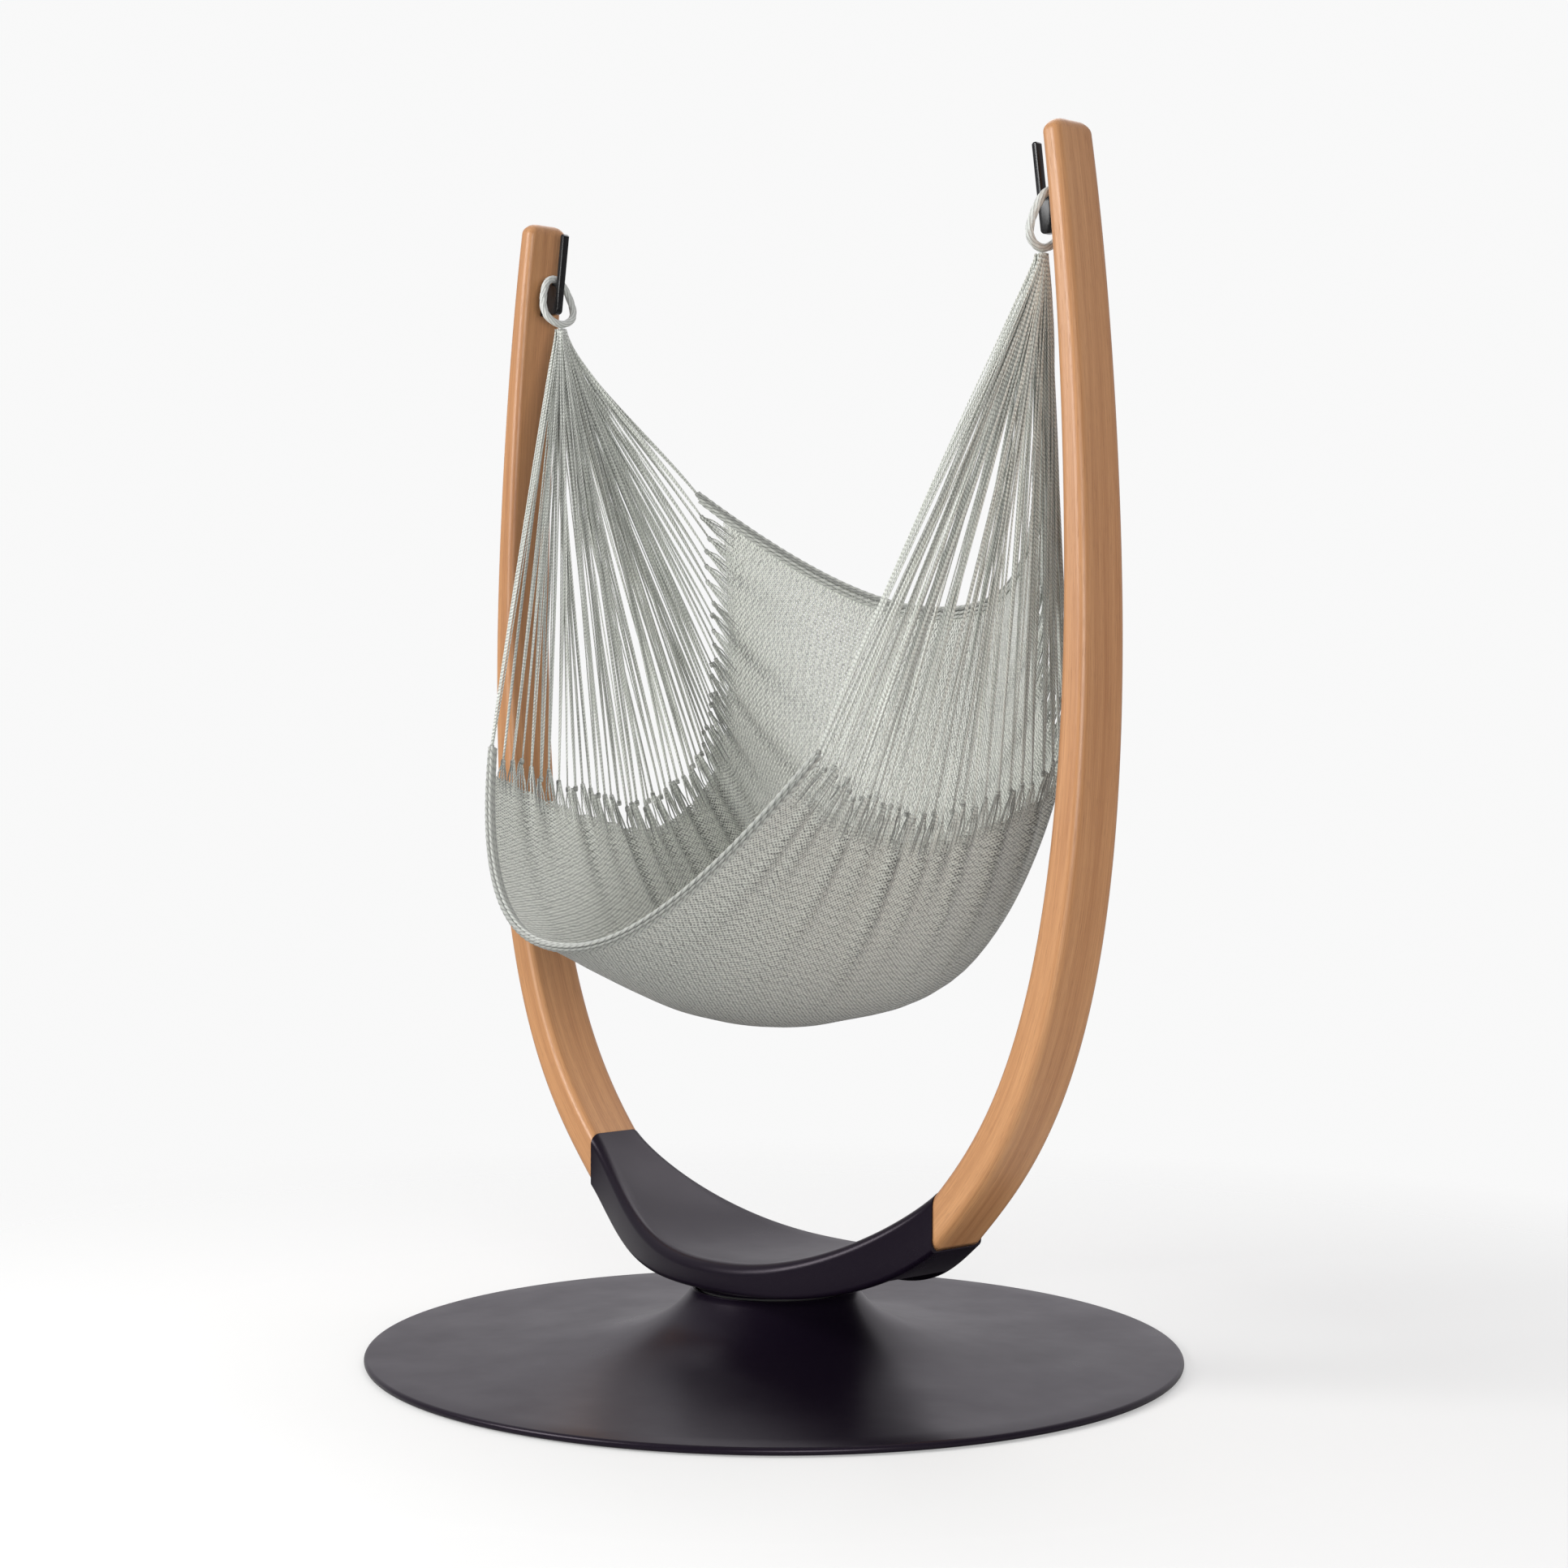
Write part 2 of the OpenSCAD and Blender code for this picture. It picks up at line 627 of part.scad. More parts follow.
module left_arm() {
    color(oak) mirror([1, 0, 0]) arm();
}

module arm_inserts() {
    color(steel) both_sides() at_arm_bolts() difference() {
        translate([0, 0, tenon_t / 2 - insert_len]) cylinder(r = insert_r, h = insert_len);
        translate([0, 0, -tenon_t]) cylinder(r = arm_bolt_d / 2, h = 2 * tenon_t);
    }
}

module arm_bolts() {
    color(steel) both_sides() at_arm_bolts() {
        translate([0, 0, -arm_head_seat - arm_head_t]) cylinder(r = arm_head_r, h = arm_head_t);
        translate([0, 0, -arm_head_seat - 1]) cylinder(r = arm_bolt_d / 2, h = arm_head_seat + tenon_t / 2);
    }
}

module right_hook() {
    color(black) hook();
}

module left_hook() {
    color(black) mirror([1, 0, 0]) hook();
}

module hook_screws() {
    color(steel) both_sides() for (z = hook_screw_z) translate([prong_face(z) - prong_w, 0, z]) rotate([0, 90, 0]) {
        cylinder(d = hook_head_d, h = hook_head_t);
        cylinder(d = hook_screw_d, h = prong_w + hook_gap + hook_inlet + hook_screw_hold);
    }
}

// ---- the hammock ----

// The loops swing on the hooks about the middle of their rounded seats
loop_x = prong_face(hook_h) + loop_side_gap + loop_d / 2;
// The strings' pull draws a loop's lower end inwards: how far, for each unit of height
loop_lean = 0.25;
loop_rise = seat_r + loop_gap + loop_d / 2;
// Half of a loop, as offset to the front or back and height from the swing axis
loop_half = [[0, loop_rise], [9, loop_rise - 2.5], [17, 3], [24, -10], [29, -26], [30, -40], [25, -52], [13, -60]];
loop_end = [0, -63];
function loop_points() = concat(loop_half, [loop_end], [for (k = [len(loop_half) - 1:-1:1]) [-loop_half[k].x, loop_half[k].y]]);

function loop_path() =
    let (points = loop_points(), n = len(points), wrapped = concat(points, [points[0]]))
    [for (k = [0:2 * n - 1]) let (p = through(wrapped, k / (2 * n))) [loop_x + loop_lean * p.y, p.x, seat_z + p.y]];

module loop() {
    loft(cord_rings(loop_path(), loop_d / 2, 10, true), true);
}

binding_top = seat_z + loop_end.y - loop_d / 2 - 0.3;
apex = [loop_x + loop_lean * loop_end.y, 0, binding_top];

module binding() {
    translate([apex.x, 0, binding_top - binding_h]) cylinder(r = binding_r, h = binding_h);
}

// Middle line of the cloth from the front rim to the back rim, as distance behind the hooks
// and height from the swing axis
cloth_middle = [[-415, -1022], [-147, -1138], [84, -1162], [280, -1102], [262, -845], [360, -526]];
// Woven end of the cloth on the right, front to back
cloth_end = [[366, -260, -746], [320, -118, -805], [340, 34, -825], [400, 195, -741], [372, 192, -591], [372, 160, -333]];
cloth_sag = 2.2;

// The cloth: u runs from -1 at the left end to 1 at the right end, v from 0 at the front rim to 1 at the back rim
function cloth(u, v) =
    let (m = through(cloth_middle, v), e = through(cloth_end, v), s = pow(abs(u), cloth_sag))
    [e.x * u, m.x + (e.y - m.x) * s, seat_z + m.y + (e.z - m.y) * s];

function cloth_normal(u, v) =
    let (d = 0.01)
    unit(cross(cloth(u + d, v) - cloth(u - d, v), cloth(u, min(1, v + d)) - cloth(u, max(0, v - d))));

module hammock_bed() {
    columns = 14;
    rows = 20;
    grid = function(side) [for (i = [-columns:columns]) [for (j = [0:rows])
        let (u = i / columns, v = j / rows, t = mix(cloth_t_front, cloth_t_back, v))
        cloth(u, v) + side * t / 2 * cloth_normal(u, v)]];
    color(yarn) sheet(grid(1), grid(-1));
}

module edge_cord(v) {
    path = [for (k = [-14:14]) cloth(k / 14, v)];
    color(yarn) loft(cord_rings(path, edge_d / 2, 10));
}

module front_edge_cord() {
    edge_cord(0);
}

module back_edge_cord() {
    edge_cord(1);
}

// One curtain of strings, from the whipping to the end of the cloth
module strings() {
    near = 0.10;
    far = 0.975;
    steps = 6;
    rows = 16;
    rim = function(v) let (e = through(cloth_end, v)) [e.x, e.y, seat_z + e.z];
    place = function(s, v) apex + (rim(v) - apex) * s;
    facing = function(s, v) unit(cross(rim(v) - apex, rim(min(1, v + 0.02)) - rim(max(0, v - 0.02))));
    grid = function(side) [for (i = [0:steps]) [for (j = [0:rows])
        let (s = mix(near, far, i / steps), v = j / rows)
        place(s, v) + side * strings_t / 2 * facing(s, v)]];
    sheet(grid(1), grid(-1));
}

module right_strings() {
    color(yarn) strings();
}

module left_strings() {
    color(yarn) mirror([1, 0, 0]) strings();
}

module right_loop() {
    color(yarn) loop();
}

module left_loop() {
    color(yarn) mirror([1, 0, 0]) loop();
}

module right_binding() {
    color(yarn) binding();
}

module left_binding() {
    color(yarn) mirror([1, 0, 0]) binding();
}

base_disc();
ballast_plate();
floor_pads();
bearing_housing();
housing_screws();
outer_race(lower_bearing_z);  // lower_outer_race
balls(lower_bearing_z);  // lower_balls
outer_race(upper_bearing_z);  // upper_outer_race
balls(upper_bearing_z);  // upper_balls
spindle();
inner_race(lower_bearing_z);  // lower_inner_race
inner_race(upper_bearing_z);  // upper_inner_race
spacer_sleeve();
dust_seal();
lock_washer();
lock_nut();
hub_bolts();
yoke();
left_arm();
right_arm();
arm_inserts();
arm_bolts();
left_hook();
right_hook();
hook_screws();
hammock_bed();
front_edge_cord();
back_edge_cord();
left_strings();
right_strings();
left_loop();
right_loop();
left_binding();
right_binding();
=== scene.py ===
# %% [markdown]
# # A hammock chair on a swivelling stand
# A woven seat hangs by two fans of strings from hooks on two curved wooden arms. The arms
# stand in a black saddle-shaped yoke, which turns on a wide black foot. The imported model
# holds every size and place, so this lesson only dresses it: each piece is built round the
# frame in metres, gets a finish made of shader nodes, and rides on the body it belongs to.

# %% Load the frame
import json
import math
import bpy
import numpy as np
from mathutils import Matrix, Vector


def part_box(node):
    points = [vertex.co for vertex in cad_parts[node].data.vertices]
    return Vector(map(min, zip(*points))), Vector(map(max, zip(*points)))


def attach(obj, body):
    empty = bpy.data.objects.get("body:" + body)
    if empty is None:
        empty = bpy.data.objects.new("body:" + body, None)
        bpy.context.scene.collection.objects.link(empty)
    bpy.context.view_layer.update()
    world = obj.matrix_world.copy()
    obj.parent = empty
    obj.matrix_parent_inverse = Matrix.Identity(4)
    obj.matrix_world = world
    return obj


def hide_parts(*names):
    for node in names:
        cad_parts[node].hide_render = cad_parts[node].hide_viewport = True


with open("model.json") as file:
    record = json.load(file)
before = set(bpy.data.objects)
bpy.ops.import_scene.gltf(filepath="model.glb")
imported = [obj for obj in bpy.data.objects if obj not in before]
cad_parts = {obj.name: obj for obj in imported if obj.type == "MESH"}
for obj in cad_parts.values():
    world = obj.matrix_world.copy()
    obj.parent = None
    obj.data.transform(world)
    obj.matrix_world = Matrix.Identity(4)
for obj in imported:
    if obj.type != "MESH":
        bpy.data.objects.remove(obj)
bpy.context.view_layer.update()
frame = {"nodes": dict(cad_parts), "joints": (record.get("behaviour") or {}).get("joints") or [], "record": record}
chance = np.random.default_rng(7)
MM = 0.001

# %% [markdown]
# The camera comes first, because every piece is judged through it. It stands to the right
# of the seat's front at a little over half the stand's height, with a long lens, so the two
# arms differ in height on the picture only a little more than they would from far away.

# %% Camera
camera_place = Vector((3.176, -2.9024, 0.9486))
camera_heading = math.radians(47.438)
camera_dip = math.radians(1.218)
camera_roll = math.radians(0.2836)

camera_data = bpy.data.cameras.new("view")
camera_data.lens = 66.06
camera_data.sensor_width = 36
camera = bpy.data.objects.new("view", camera_data)
bpy.context.collection.objects.link(camera)
camera_turn = (
    Matrix.Rotation(camera_heading, 4, "Z")
    @ Matrix.Rotation(math.pi / 2 - camera_dip, 4, "X")
    @ Matrix.Rotation(camera_roll, 4, "Z")
)
camera.matrix_world = Matrix.Translation(camera_place) @ camera_turn
bpy.context.scene.camera = camera
bpy.context.scene.view_settings.view_transform = "Standard"
print("camera", round(camera_data.lens, 2), "mm")

# %% [markdown]
# The studio is a pale floor under a pale sky, with three large soft lights. A sky alone
# would light every side alike and flatten the cloth, so a key light from the upper left
# gives the form, a weaker one from the right fills it, and one overhead draws the long
# soft gleam on the foot.

# %% Studio
def soft_light(name, place, aim, size, watts):
    data = bpy.data.lights.new(name, "AREA")
    data.shape = "RECTANGLE"
    data.size, data.size_y = size
    data.energy = watts
    light = bpy.data.objects.new(name, data)
    light.location = place
    light.rotation_mode = "QUATERNION"
    light.rotation_quaternion = (Vector(place) - Vector(aim)).to_track_quat("Z", "Y")
    bpy.context.collection.objects.link(light)
    return light


soft_light("key", (-1.3, -4.1, 2.5), (0, 0, 0.8), (2.4, 2.0), 170)
soft_light("fill", (4.0, -2.6, 1.0), (0, 0, 0.7), (1.9, 1.7), 105)
soft_light("overhead", (-1.3, 1.9, 3.9), (0, 0, 0.4), (3.0, 2.2), 40)

world = bpy.data.worlds.new("pale sky")
world.use_nodes = True
sky = world.node_tree
sky_facing = sky.nodes.new("ShaderNodeVectorMath")
sky_facing.operation = "DOT_PRODUCT"
sky_facing.inputs[1].default_value = (-0.42, 0.70, 0.58)
sky.links.new(sky.nodes.new("ShaderNodeTexCoord").outputs["Generated"], sky_facing.inputs[0])
sky_light = sky.nodes.new("ShaderNodeMapRange")
for socket, value in zip(sky_light.inputs[1:5], (-0.3, 0.95, 0.10, 0.72)):
    socket.default_value = value
sky.links.new(sky_facing.outputs["Value"], sky_light.inputs["Value"])
sky_strength = sky.nodes.new("ShaderNodeMix")
sky.links.new(sky.nodes.new("ShaderNodeLightPath").outputs["Is Camera Ray"], sky_strength.inputs["Factor"])
sky.links.new(sky_light.outputs[0], sky_strength.inputs["A"])
sky_strength.inputs["B"].default_value = 0.945
sky_colour = sky.nodes.new("ShaderNodeMix")
sky_colour.data_type = "RGBA"
sky_colour.inputs[6].default_value = (1.0, 0.97, 1.02, 1)
sky_colour.inputs[7].default_value = (1, 1, 1, 1)
sky.links.new(sky_strength.inputs["Factor"].links[0].from_socket, sky_colour.inputs["Factor"])
sky.links.new(sky_colour.outputs[2], sky.nodes["Background"].inputs["Color"])
sky.links.new(sky_strength.outputs[0], sky.nodes["Background"].inputs["Strength"])
bpy.context.scene.world = world

# %% [markdown]
# Cloth, strings and wood all need many smooth surfaces laid over rows of points. Blender
# has curves with a bevel for that, but a mesh from numpy arrays keeps a note of where each
# point lies on its own material: across the piece and along it. That note is stored as an
# attribute called `lay`, and every finish reads it, so grain and twist follow the curves.

# %% Curves and grids
def unit(v):
    return v / np.maximum(np.linalg.norm(v, axis=-1, keepdims=True), 1e-12)


def mix(a, b, share):
    return a + (b - a) * share


def ease(low, high, x):
    s = np.clip((x - low) / (high - low), 0, 1)
    return s * s * (3 - 2 * s)


def through(points, t):
    """Smooth curve through a list of points; t runs from 0 at the first to 1 at the last"""
    points = np.asarray(points, float)
    last = len(points) - 1
    t = np.asarray(t, float) * last
    k = np.clip(np.floor(t).astype(int), 0, last - 1)
    s = (t - k)[..., None]
    a, b = points[k], points[k + 1]
    before = np.where((k > 0)[..., None], points[np.maximum(k - 1, 0)], 2 * a - b)
    after = np.where((k < last - 1)[..., None], points[np.minimum(k + 2, last)], 2 * b - a)
    bend = 2 * before - 5 * a + 4 * b - after
    return (2 * a + (b - before) * s + bend * s**2 + (3 * a - before - 3 * b + after) * s**3) / 2


def bezier(p, t):
    p, t = np.asarray(p, float), np.asarray(t, float)[..., None]
    return p[0] * (1 - t) ** 3 + 3 * p[1] * t * (1 - t) ** 2 + 3 * p[2] * t**2 * (1 - t) + p[3] * t**3


def grid_faces(rows, columns, round_rows=False, round_columns=False):
    """Quads over rows by columns of points; round_ joins the last to the first"""
    i = np.arange(rows if round_rows else rows - 1)[:, None]
    j = np.arange(columns if round_columns else columns - 1)[None, :]
    i2, j2 = (i + 1) % rows, (j + 1) % columns
    corners = (i * columns + j, i * columns + j2, i2 * columns + j2, i2 * columns + j)
    quads = np.stack(np.broadcast_arrays(*corners), -1)
    return quads.reshape(-1, 4)


# %% Pieces
class Piece:
    """Points, faces, where the points lie on the material, and how light each is"""

    def __init__(self):
        self.points, self.faces, self.lay, self.tone, self.count = [], [], [], [], 0

    def add(self, points, faces, lay=None, tone=1.0):
        points = np.asarray(points, float).reshape(-1, 3)
        lay = points if lay is None else np.asarray(lay, float).reshape(-1, 3)
        self.points.append(points)
        self.lay.append(lay)
        self.tone.append(np.broadcast_to(np.asarray(tone, float), (len(points),)))
        self.faces += [tuple(int(i) + self.count for i in face) for face in faces]
        self.count += len(points)

    def mirrored(self):
        """The same piece on the other side of the middle plane"""
        other = Piece()
        other.points = [p * [-1, 1, 1] for p in self.points]
        other.lay, other.tone, other.count = self.lay, self.tone, self.count
        other.faces = [face[::-1] for face in self.faces]
        return other

    def make(self, name, body, material, replaces=(), slot=None, smooth=True):
        mesh = bpy.data.meshes.new(name)
        mesh.from_pydata(np.concatenate(self.points).tolist(), [], self.faces)
        lay = mesh.attributes.new("lay", "FLOAT_VECTOR", "POINT")
        lay.data.foreach_set("vector", np.concatenate(self.lay).astype(np.float32).ravel())
        tone = mesh.attributes.new("tone", "FLOAT", "POINT")
        tone.data.foreach_set("value", np.concatenate(self.tone).astype(np.float32))
        mesh.materials.append(material)
        if smooth:
            mesh.shade_smooth()
        piece = bpy.data.objects.new(name, mesh)
        bpy.context.collection.objects.link(piece)
        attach(piece, body)
        if replaces:
            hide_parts(*replaces)
        print(name, len(self.faces), "faces on", body)
        return piece


def tube_points(paths, radius, sides, reference=(1, 0, 0), profile=None, closed=False):
    """Rings round one or many paths, and each point's lay: offset from the middle, and length"""
    paths = np.asarray(paths, float)
    if closed:
        ahead, behind = np.roll(paths, -1, axis=-2), np.roll(paths, 1, axis=-2)
        along = unit(ahead - behind)
    else:
        along = unit(np.gradient(paths, axis=-2))
    across = unit(np.cross(along, np.broadcast_to(reference, along.shape)))
    upward = np.cross(along, across)
    steps = np.linalg.norm(np.diff(paths, axis=-2), axis=-1)
    length = np.concatenate([np.zeros(steps.shape[:-1] + (1,)), np.cumsum(steps, axis=-1)], axis=-1)
    angle = np.arange(sides) * 2 * math.pi / sides
    reach = np.broadcast_to(radius, length.shape)[..., None] * np.ones(sides)
    if profile:
        reach = reach * profile(angle, length[..., None])
    x, y = reach * np.cos(angle), reach * np.sin(angle)
    points = paths[..., None, :] + x[..., None] * across[..., None, :] + y[..., None] * upward[..., None, :]
    return points, np.stack([x, y, np.broadcast_to(length[..., None], x.shape)], -1)


def add_tubes(piece, paths, radius, sides, reference=(1, 0, 0), profile=None, tone=1.0, closed=False):
    """One tube along each path, with flat ends, or a ring if it is closed"""
    points, lay = tube_points(paths, radius, sides, reference, profile, closed)
    if points.ndim == 3:
        points, lay = points[None], lay[None]
    rows = points.shape[1]
    faces = [tuple(f) for f in grid_faces(rows, sides, closed, True)[:, ::-1]]
    if not closed:
        faces.append(tuple(range(sides)))
        faces.append(tuple(range(rows * sides - 1, (rows - 1) * sides - 1, -1)))
    tones = np.broadcast_to(tone, (len(points),))
    for one, its_lay, its_tone in zip(points, lay, tones):
        piece.add(one, faces, its_lay, its_tone)


# %% [markdown]
# Finishes. A material here is a Principled BSDF fed by a few shared node groups: grain for
# the wood, a twist for every yarn and cord, an open weave for the cloth, and a faint
# orange-peel for the painted metal. Each group is built once and takes its scale and its
# colours from the material that uses it.

# %% Node helpers
def new_group(name, inputs, outputs):
    group = bpy.data.node_groups.new(name, "ShaderNodeTree")
    for socket, kind, value in inputs:
        made = group.interface.new_socket(name=socket, in_out="INPUT", socket_type=kind)
        if value is not None:
            made.default_value = value
    for socket, kind in outputs:
        group.interface.new_socket(name=socket, in_out="OUTPUT", socket_type=kind)
    return group, group.nodes.new("NodeGroupInput").outputs, group.nodes.new("NodeGroupOutput").inputs


def feed(tree, socket, value):
    if isinstance(value, bpy.types.NodeSocket):
        tree.links.new(value, socket)
    elif value is not None:
        socket.default_value = value


def maths(tree, how, a, b=None, c=None):
    node = tree.nodes.new("ShaderNodeMath")
    node.operation = how
    for socket, value in zip(node.inputs, (a, b, c)):
        feed(tree, socket, value)
    return node.outputs[0]


def scaled(tree, vector, by):
    node = tree.nodes.new("ShaderNodeVectorMath")
    node.operation = "MULTIPLY"
    feed(tree, node.inputs[0], vector)
    feed(tree, node.inputs[1], by)
    return node.outputs[0]


def split(tree, vector):
    node = tree.nodes.new("ShaderNodeSeparateXYZ")
    feed(tree, node.inputs[0], vector)
    return node.outputs


def noise(tree, vector, scale=1.0, detail=2.0, roughness=0.5):
    node = tree.nodes.new("ShaderNodeTexNoise")
    feed(tree, node.inputs["Vector"], vector)
    feed(tree, node.inputs["Scale"], scale)
    feed(tree, node.inputs["Detail"], detail)
    feed(tree, node.inputs["Roughness"], roughness)
    return node.outputs["Fac"]


def spread(tree, value, low, high, to_low=0.0, to_high=1.0):
    node = tree.nodes.new("ShaderNodeMapRange")
    for socket, given in zip(node.inputs, (value, low, high, to_low, to_high)):
        feed(tree, socket, given)
    return node.outputs[0]


def blend_colour(tree, share, a, b, how="MIX"):
    node = tree.nodes.new("ShaderNodeMix")
    node.data_type = "RGBA"
    node.blend_type = how
    feed(tree, node.inputs["Factor"], share)
    feed(tree, node.inputs[6], a)
    feed(tree, node.inputs[7], b)
    return node.outputs[2]


def noted(tree, name, output="Vector"):
    """A note kept on the mesh, such as lay or tone"""
    node = tree.nodes.new("ShaderNodeAttribute")
    node.attribute_name = name
    return node.outputs[output]


def use(tree, group, **given):
    node = tree.nodes.new("ShaderNodeGroup")
    node.node_tree = group
    for socket, value in given.items():
        feed(tree, node.inputs[socket.replace("_", " ")], value)
    return node.outputs


def bumped(tree, height, distance, strength=1.0):
    node = tree.nodes.new("ShaderNodeBump")
    node.inputs["Distance"].default_value = distance
    node.inputs["Strength"].default_value = strength
    feed(tree, node.inputs["Height"], height)
    return node.outputs[0]


def new_material(name, roughness, **sockets):
    material = bpy.data.materials.new(name)
    material.use_nodes = True
    shader = material.node_tree.nodes["Principled BSDF"]
    shader.inputs["Roughness"].default_value = roughness
    for socket, value in sockets.items():
        shader.inputs[socket.replace("_", " ")].default_value = value
    return material, material.node_tree, shader.inputs


# %% Wood grain
grain, got, out = new_group(
    "wood grain",
    [
        ("Place", "NodeSocketVector", None),
        ("Pale", "NodeSocketColor", (0.72, 0.42, 0.20, 1)),
        ("Deep", "NodeSocketColor", (0.50, 0.24, 0.10, 1)),
        ("Pore", "NodeSocketColor", (0.24, 0.10, 0.04, 1)),
    ],
    [("Color", "NodeSocketColor"), ("Height", "NodeSocketFloat"), ("Open", "NodeSocketFloat")],
)
broad = noise(grain, scaled(grain, got["Place"], (26, 26, 1.1)), 1.0, 3, 0.55)
place_x, place_y, place_z = split(grain, got["Place"])
wander = maths(grain, "MULTIPLY", broad, 9.0)
bands = maths(grain, "MULTIPLY_ADD", place_y, 300, maths(grain, "MULTIPLY_ADD", place_x, 190, wander))
stripe = maths(grain, "MULTIPLY_ADD", maths(grain, "SINE", bands), 0.5, 0.5)
fibre = noise(grain, scaled(grain, got["Place"], (520, 520, 6)), 1.0, 5, 0.7)
fleck = noise(grain, scaled(grain, got["Place"], (1300, 1300, 42)), 1.0, 1, 0.4)
pore = spread(grain, fleck, 0.62, 0.74)
tint = maths(grain, "MULTIPLY", spread(grain, broad, 0.3, 0.7), 0.38)
tint = maths(grain, "MULTIPLY_ADD", stripe, 0.13, tint)
tint = maths(grain, "SUBTRACT", tint, 0.10)
tint = maths(grain, "MULTIPLY_ADD", spread(grain, fibre, 0.3, 0.7), 0.52, tint)
wood_colour = blend_colour(grain, tint, got["Pale"], got["Deep"])
wood_colour = blend_colour(grain, maths(grain, "MULTIPLY", pore, 0.35), wood_colour, got["Pore"])
feed(grain, out["Color"], wood_colour)
feed(grain, out["Height"], maths(grain, "SUBTRACT", fibre, pore))
feed(grain, out["Open"], pore)
print("grain", len(grain.nodes), "nodes")

# %% Twist of a yarn or cord
twist, got, out = new_group(
    "twist",
    [
        ("Place", "NodeSocketVector", None),
        ("Plies", "NodeSocketFloat", 2.0),
        ("Turn", "NodeSocketFloat", 0.01),
    ],
    [("Height", "NodeSocketFloat"), ("Shade", "NodeSocketFloat")],
)
place_x, place_y, place_z = split(twist, got["Place"])
angle = maths(twist, "MULTIPLY", maths(twist, "ARCTAN2", place_y, place_x), got["Plies"])
turned = maths(twist, "DIVIDE", maths(twist, "MULTIPLY", place_z, 2 * math.pi), got["Turn"])
wave = maths(twist, "COSINE", maths(twist, "MULTIPLY", maths(twist, "ADD", angle, turned), 0.5))
ridge = maths(twist, "ABSOLUTE", wave)
fuzz = noise(twist, scaled(twist, got["Place"], (2200, 2200, 500)), 1.0, 2, 0.6)
feed(twist, out["Height"], maths(twist, "MULTIPLY_ADD", fuzz, 0.35, ridge))
# Shade is painted shade: the grooves between the plies are coloured darker, and the fuzz varies it a little.
ply_shade = spread(twist, ridge, 0.05, 0.6, 0.22, 0.92)
feed(twist, out["Shade"], maths(twist, "MULTIPLY_ADD", fuzz, 0.30, ply_shade))

# %% Open weave
weave, got, out = new_group(
    "open weave",
    [
        ("Place", "NodeSocketVector", None),
        ("Stitch", "NodeSocketFloat", 0.0090),
        ("Open", "NodeSocketFloat", 0.0),
    ],
    [("Height", "NodeSocketFloat"), ("Shade", "NodeSocketFloat"), ("Cover", "NodeSocketFloat")],
)
wobble = noise(weave, got["Place"], 60, 2, 0.5)
place_x, place_y, place_z = split(weave, got["Place"])
step_x = maths(weave, "DIVIDE", maths(weave, "MULTIPLY", place_x, 1.6), got["Stitch"])
step_y = maths(weave, "DIVIDE", place_y, got["Stitch"])
step_x = maths(weave, "MULTIPLY_ADD", wobble, 0.9, step_x)


def lattice(one, other):
    """How high one set of slanting yarns stands, passing over and under the other set"""
    across = maths(weave, "SINE", maths(weave, "MULTIPLY", one, math.pi))
    body = maths(weave, "SUBTRACT", 1.0, maths(weave, "ABSOLUTE", across))
    over = maths(weave, "SINE", maths(weave, "MULTIPLY", other, math.pi))
    return maths(weave, "MULTIPLY", body, maths(weave, "MULTIPLY_ADD", over, 0.18, 0.82))


rising = maths(weave, "ADD", step_x, step_y)
falling = maths(weave, "SUBTRACT", step_x, step_y)
crossing = lattice(falling, maths(weave, "ADD", rising, 1.0))
yarn_height = maths(weave, "MAXIMUM", lattice(rising, falling), crossing)
hair = noise(weave, scaled(weave, got["Place"], (1500, 1500, 1500)), 1.0, 2, 0.6)
slub = noise(weave, scaled(weave, got["Place"], (330, 150, 34)), 1.0, 3, 0.65)
drape = noise(weave, scaled(weave, got["Place"], (13, 11, 11)), 1.0, 3, 0.55)
row_gap = 0.0125
row_turn = maths(weave, "MULTIPLY_ADD", place_x, 2 * math.pi / row_gap, maths(weave, "MULTIPLY", drape, 22))
ripple = maths(weave, "MULTIPLY", maths(weave, "SINE", row_turn), spread(weave, wobble, 0.35, 0.6, 0.15, 1.0))
stitch_height = maths(weave, "MULTIPLY_ADD", ripple, 0.45, yarn_height)
feed(weave, out["Height"], maths(weave, "MULTIPLY_ADD", hair, 0.3, stitch_height))
# Painted shade: low places between the yarns are coloured darker, and the hair noise adds fuzz.
weave_shade = maths(weave, "MULTIPLY_ADD", hair, 0.42, spread(weave, yarn_height, 0.08, 0.75, 0.16, 0.92))
# The ripple rows are coloured darker in their troughs: painted shade.
weave_shade = maths(weave, "MULTIPLY_ADD", ripple, 0.13, weave_shade)
slub_shade = maths(weave, "MULTIPLY", maths(weave, "SUBTRACT", spread(weave, slub, 0.3, 0.7), 0.5), 0.58)
# Where the weave is open the cloth is coloured darker: painted shade, as if shadow shows through the net.
weave_shade = maths(weave, "MULTIPLY_ADD", got["Open"], -0.30, weave_shade)
# Creases are coloured darker the deeper they are: painted shade in the creases.
painted_crease_shade = 44
weave_shade = maths(weave, "MULTIPLY_ADD", place_z, -painted_crease_shade, weave_shade)
feed(weave, out["Shade"], maths(weave, "ADD", slub_shade, weave_shade))
edge_of_hole = maths(weave, "MULTIPLY", got["Open"], 0.5)
feed(weave, out["Cover"], spread(weave, maths(weave, "SUBTRACT", yarn_height, edge_of_hole), -0.04, 0.04))

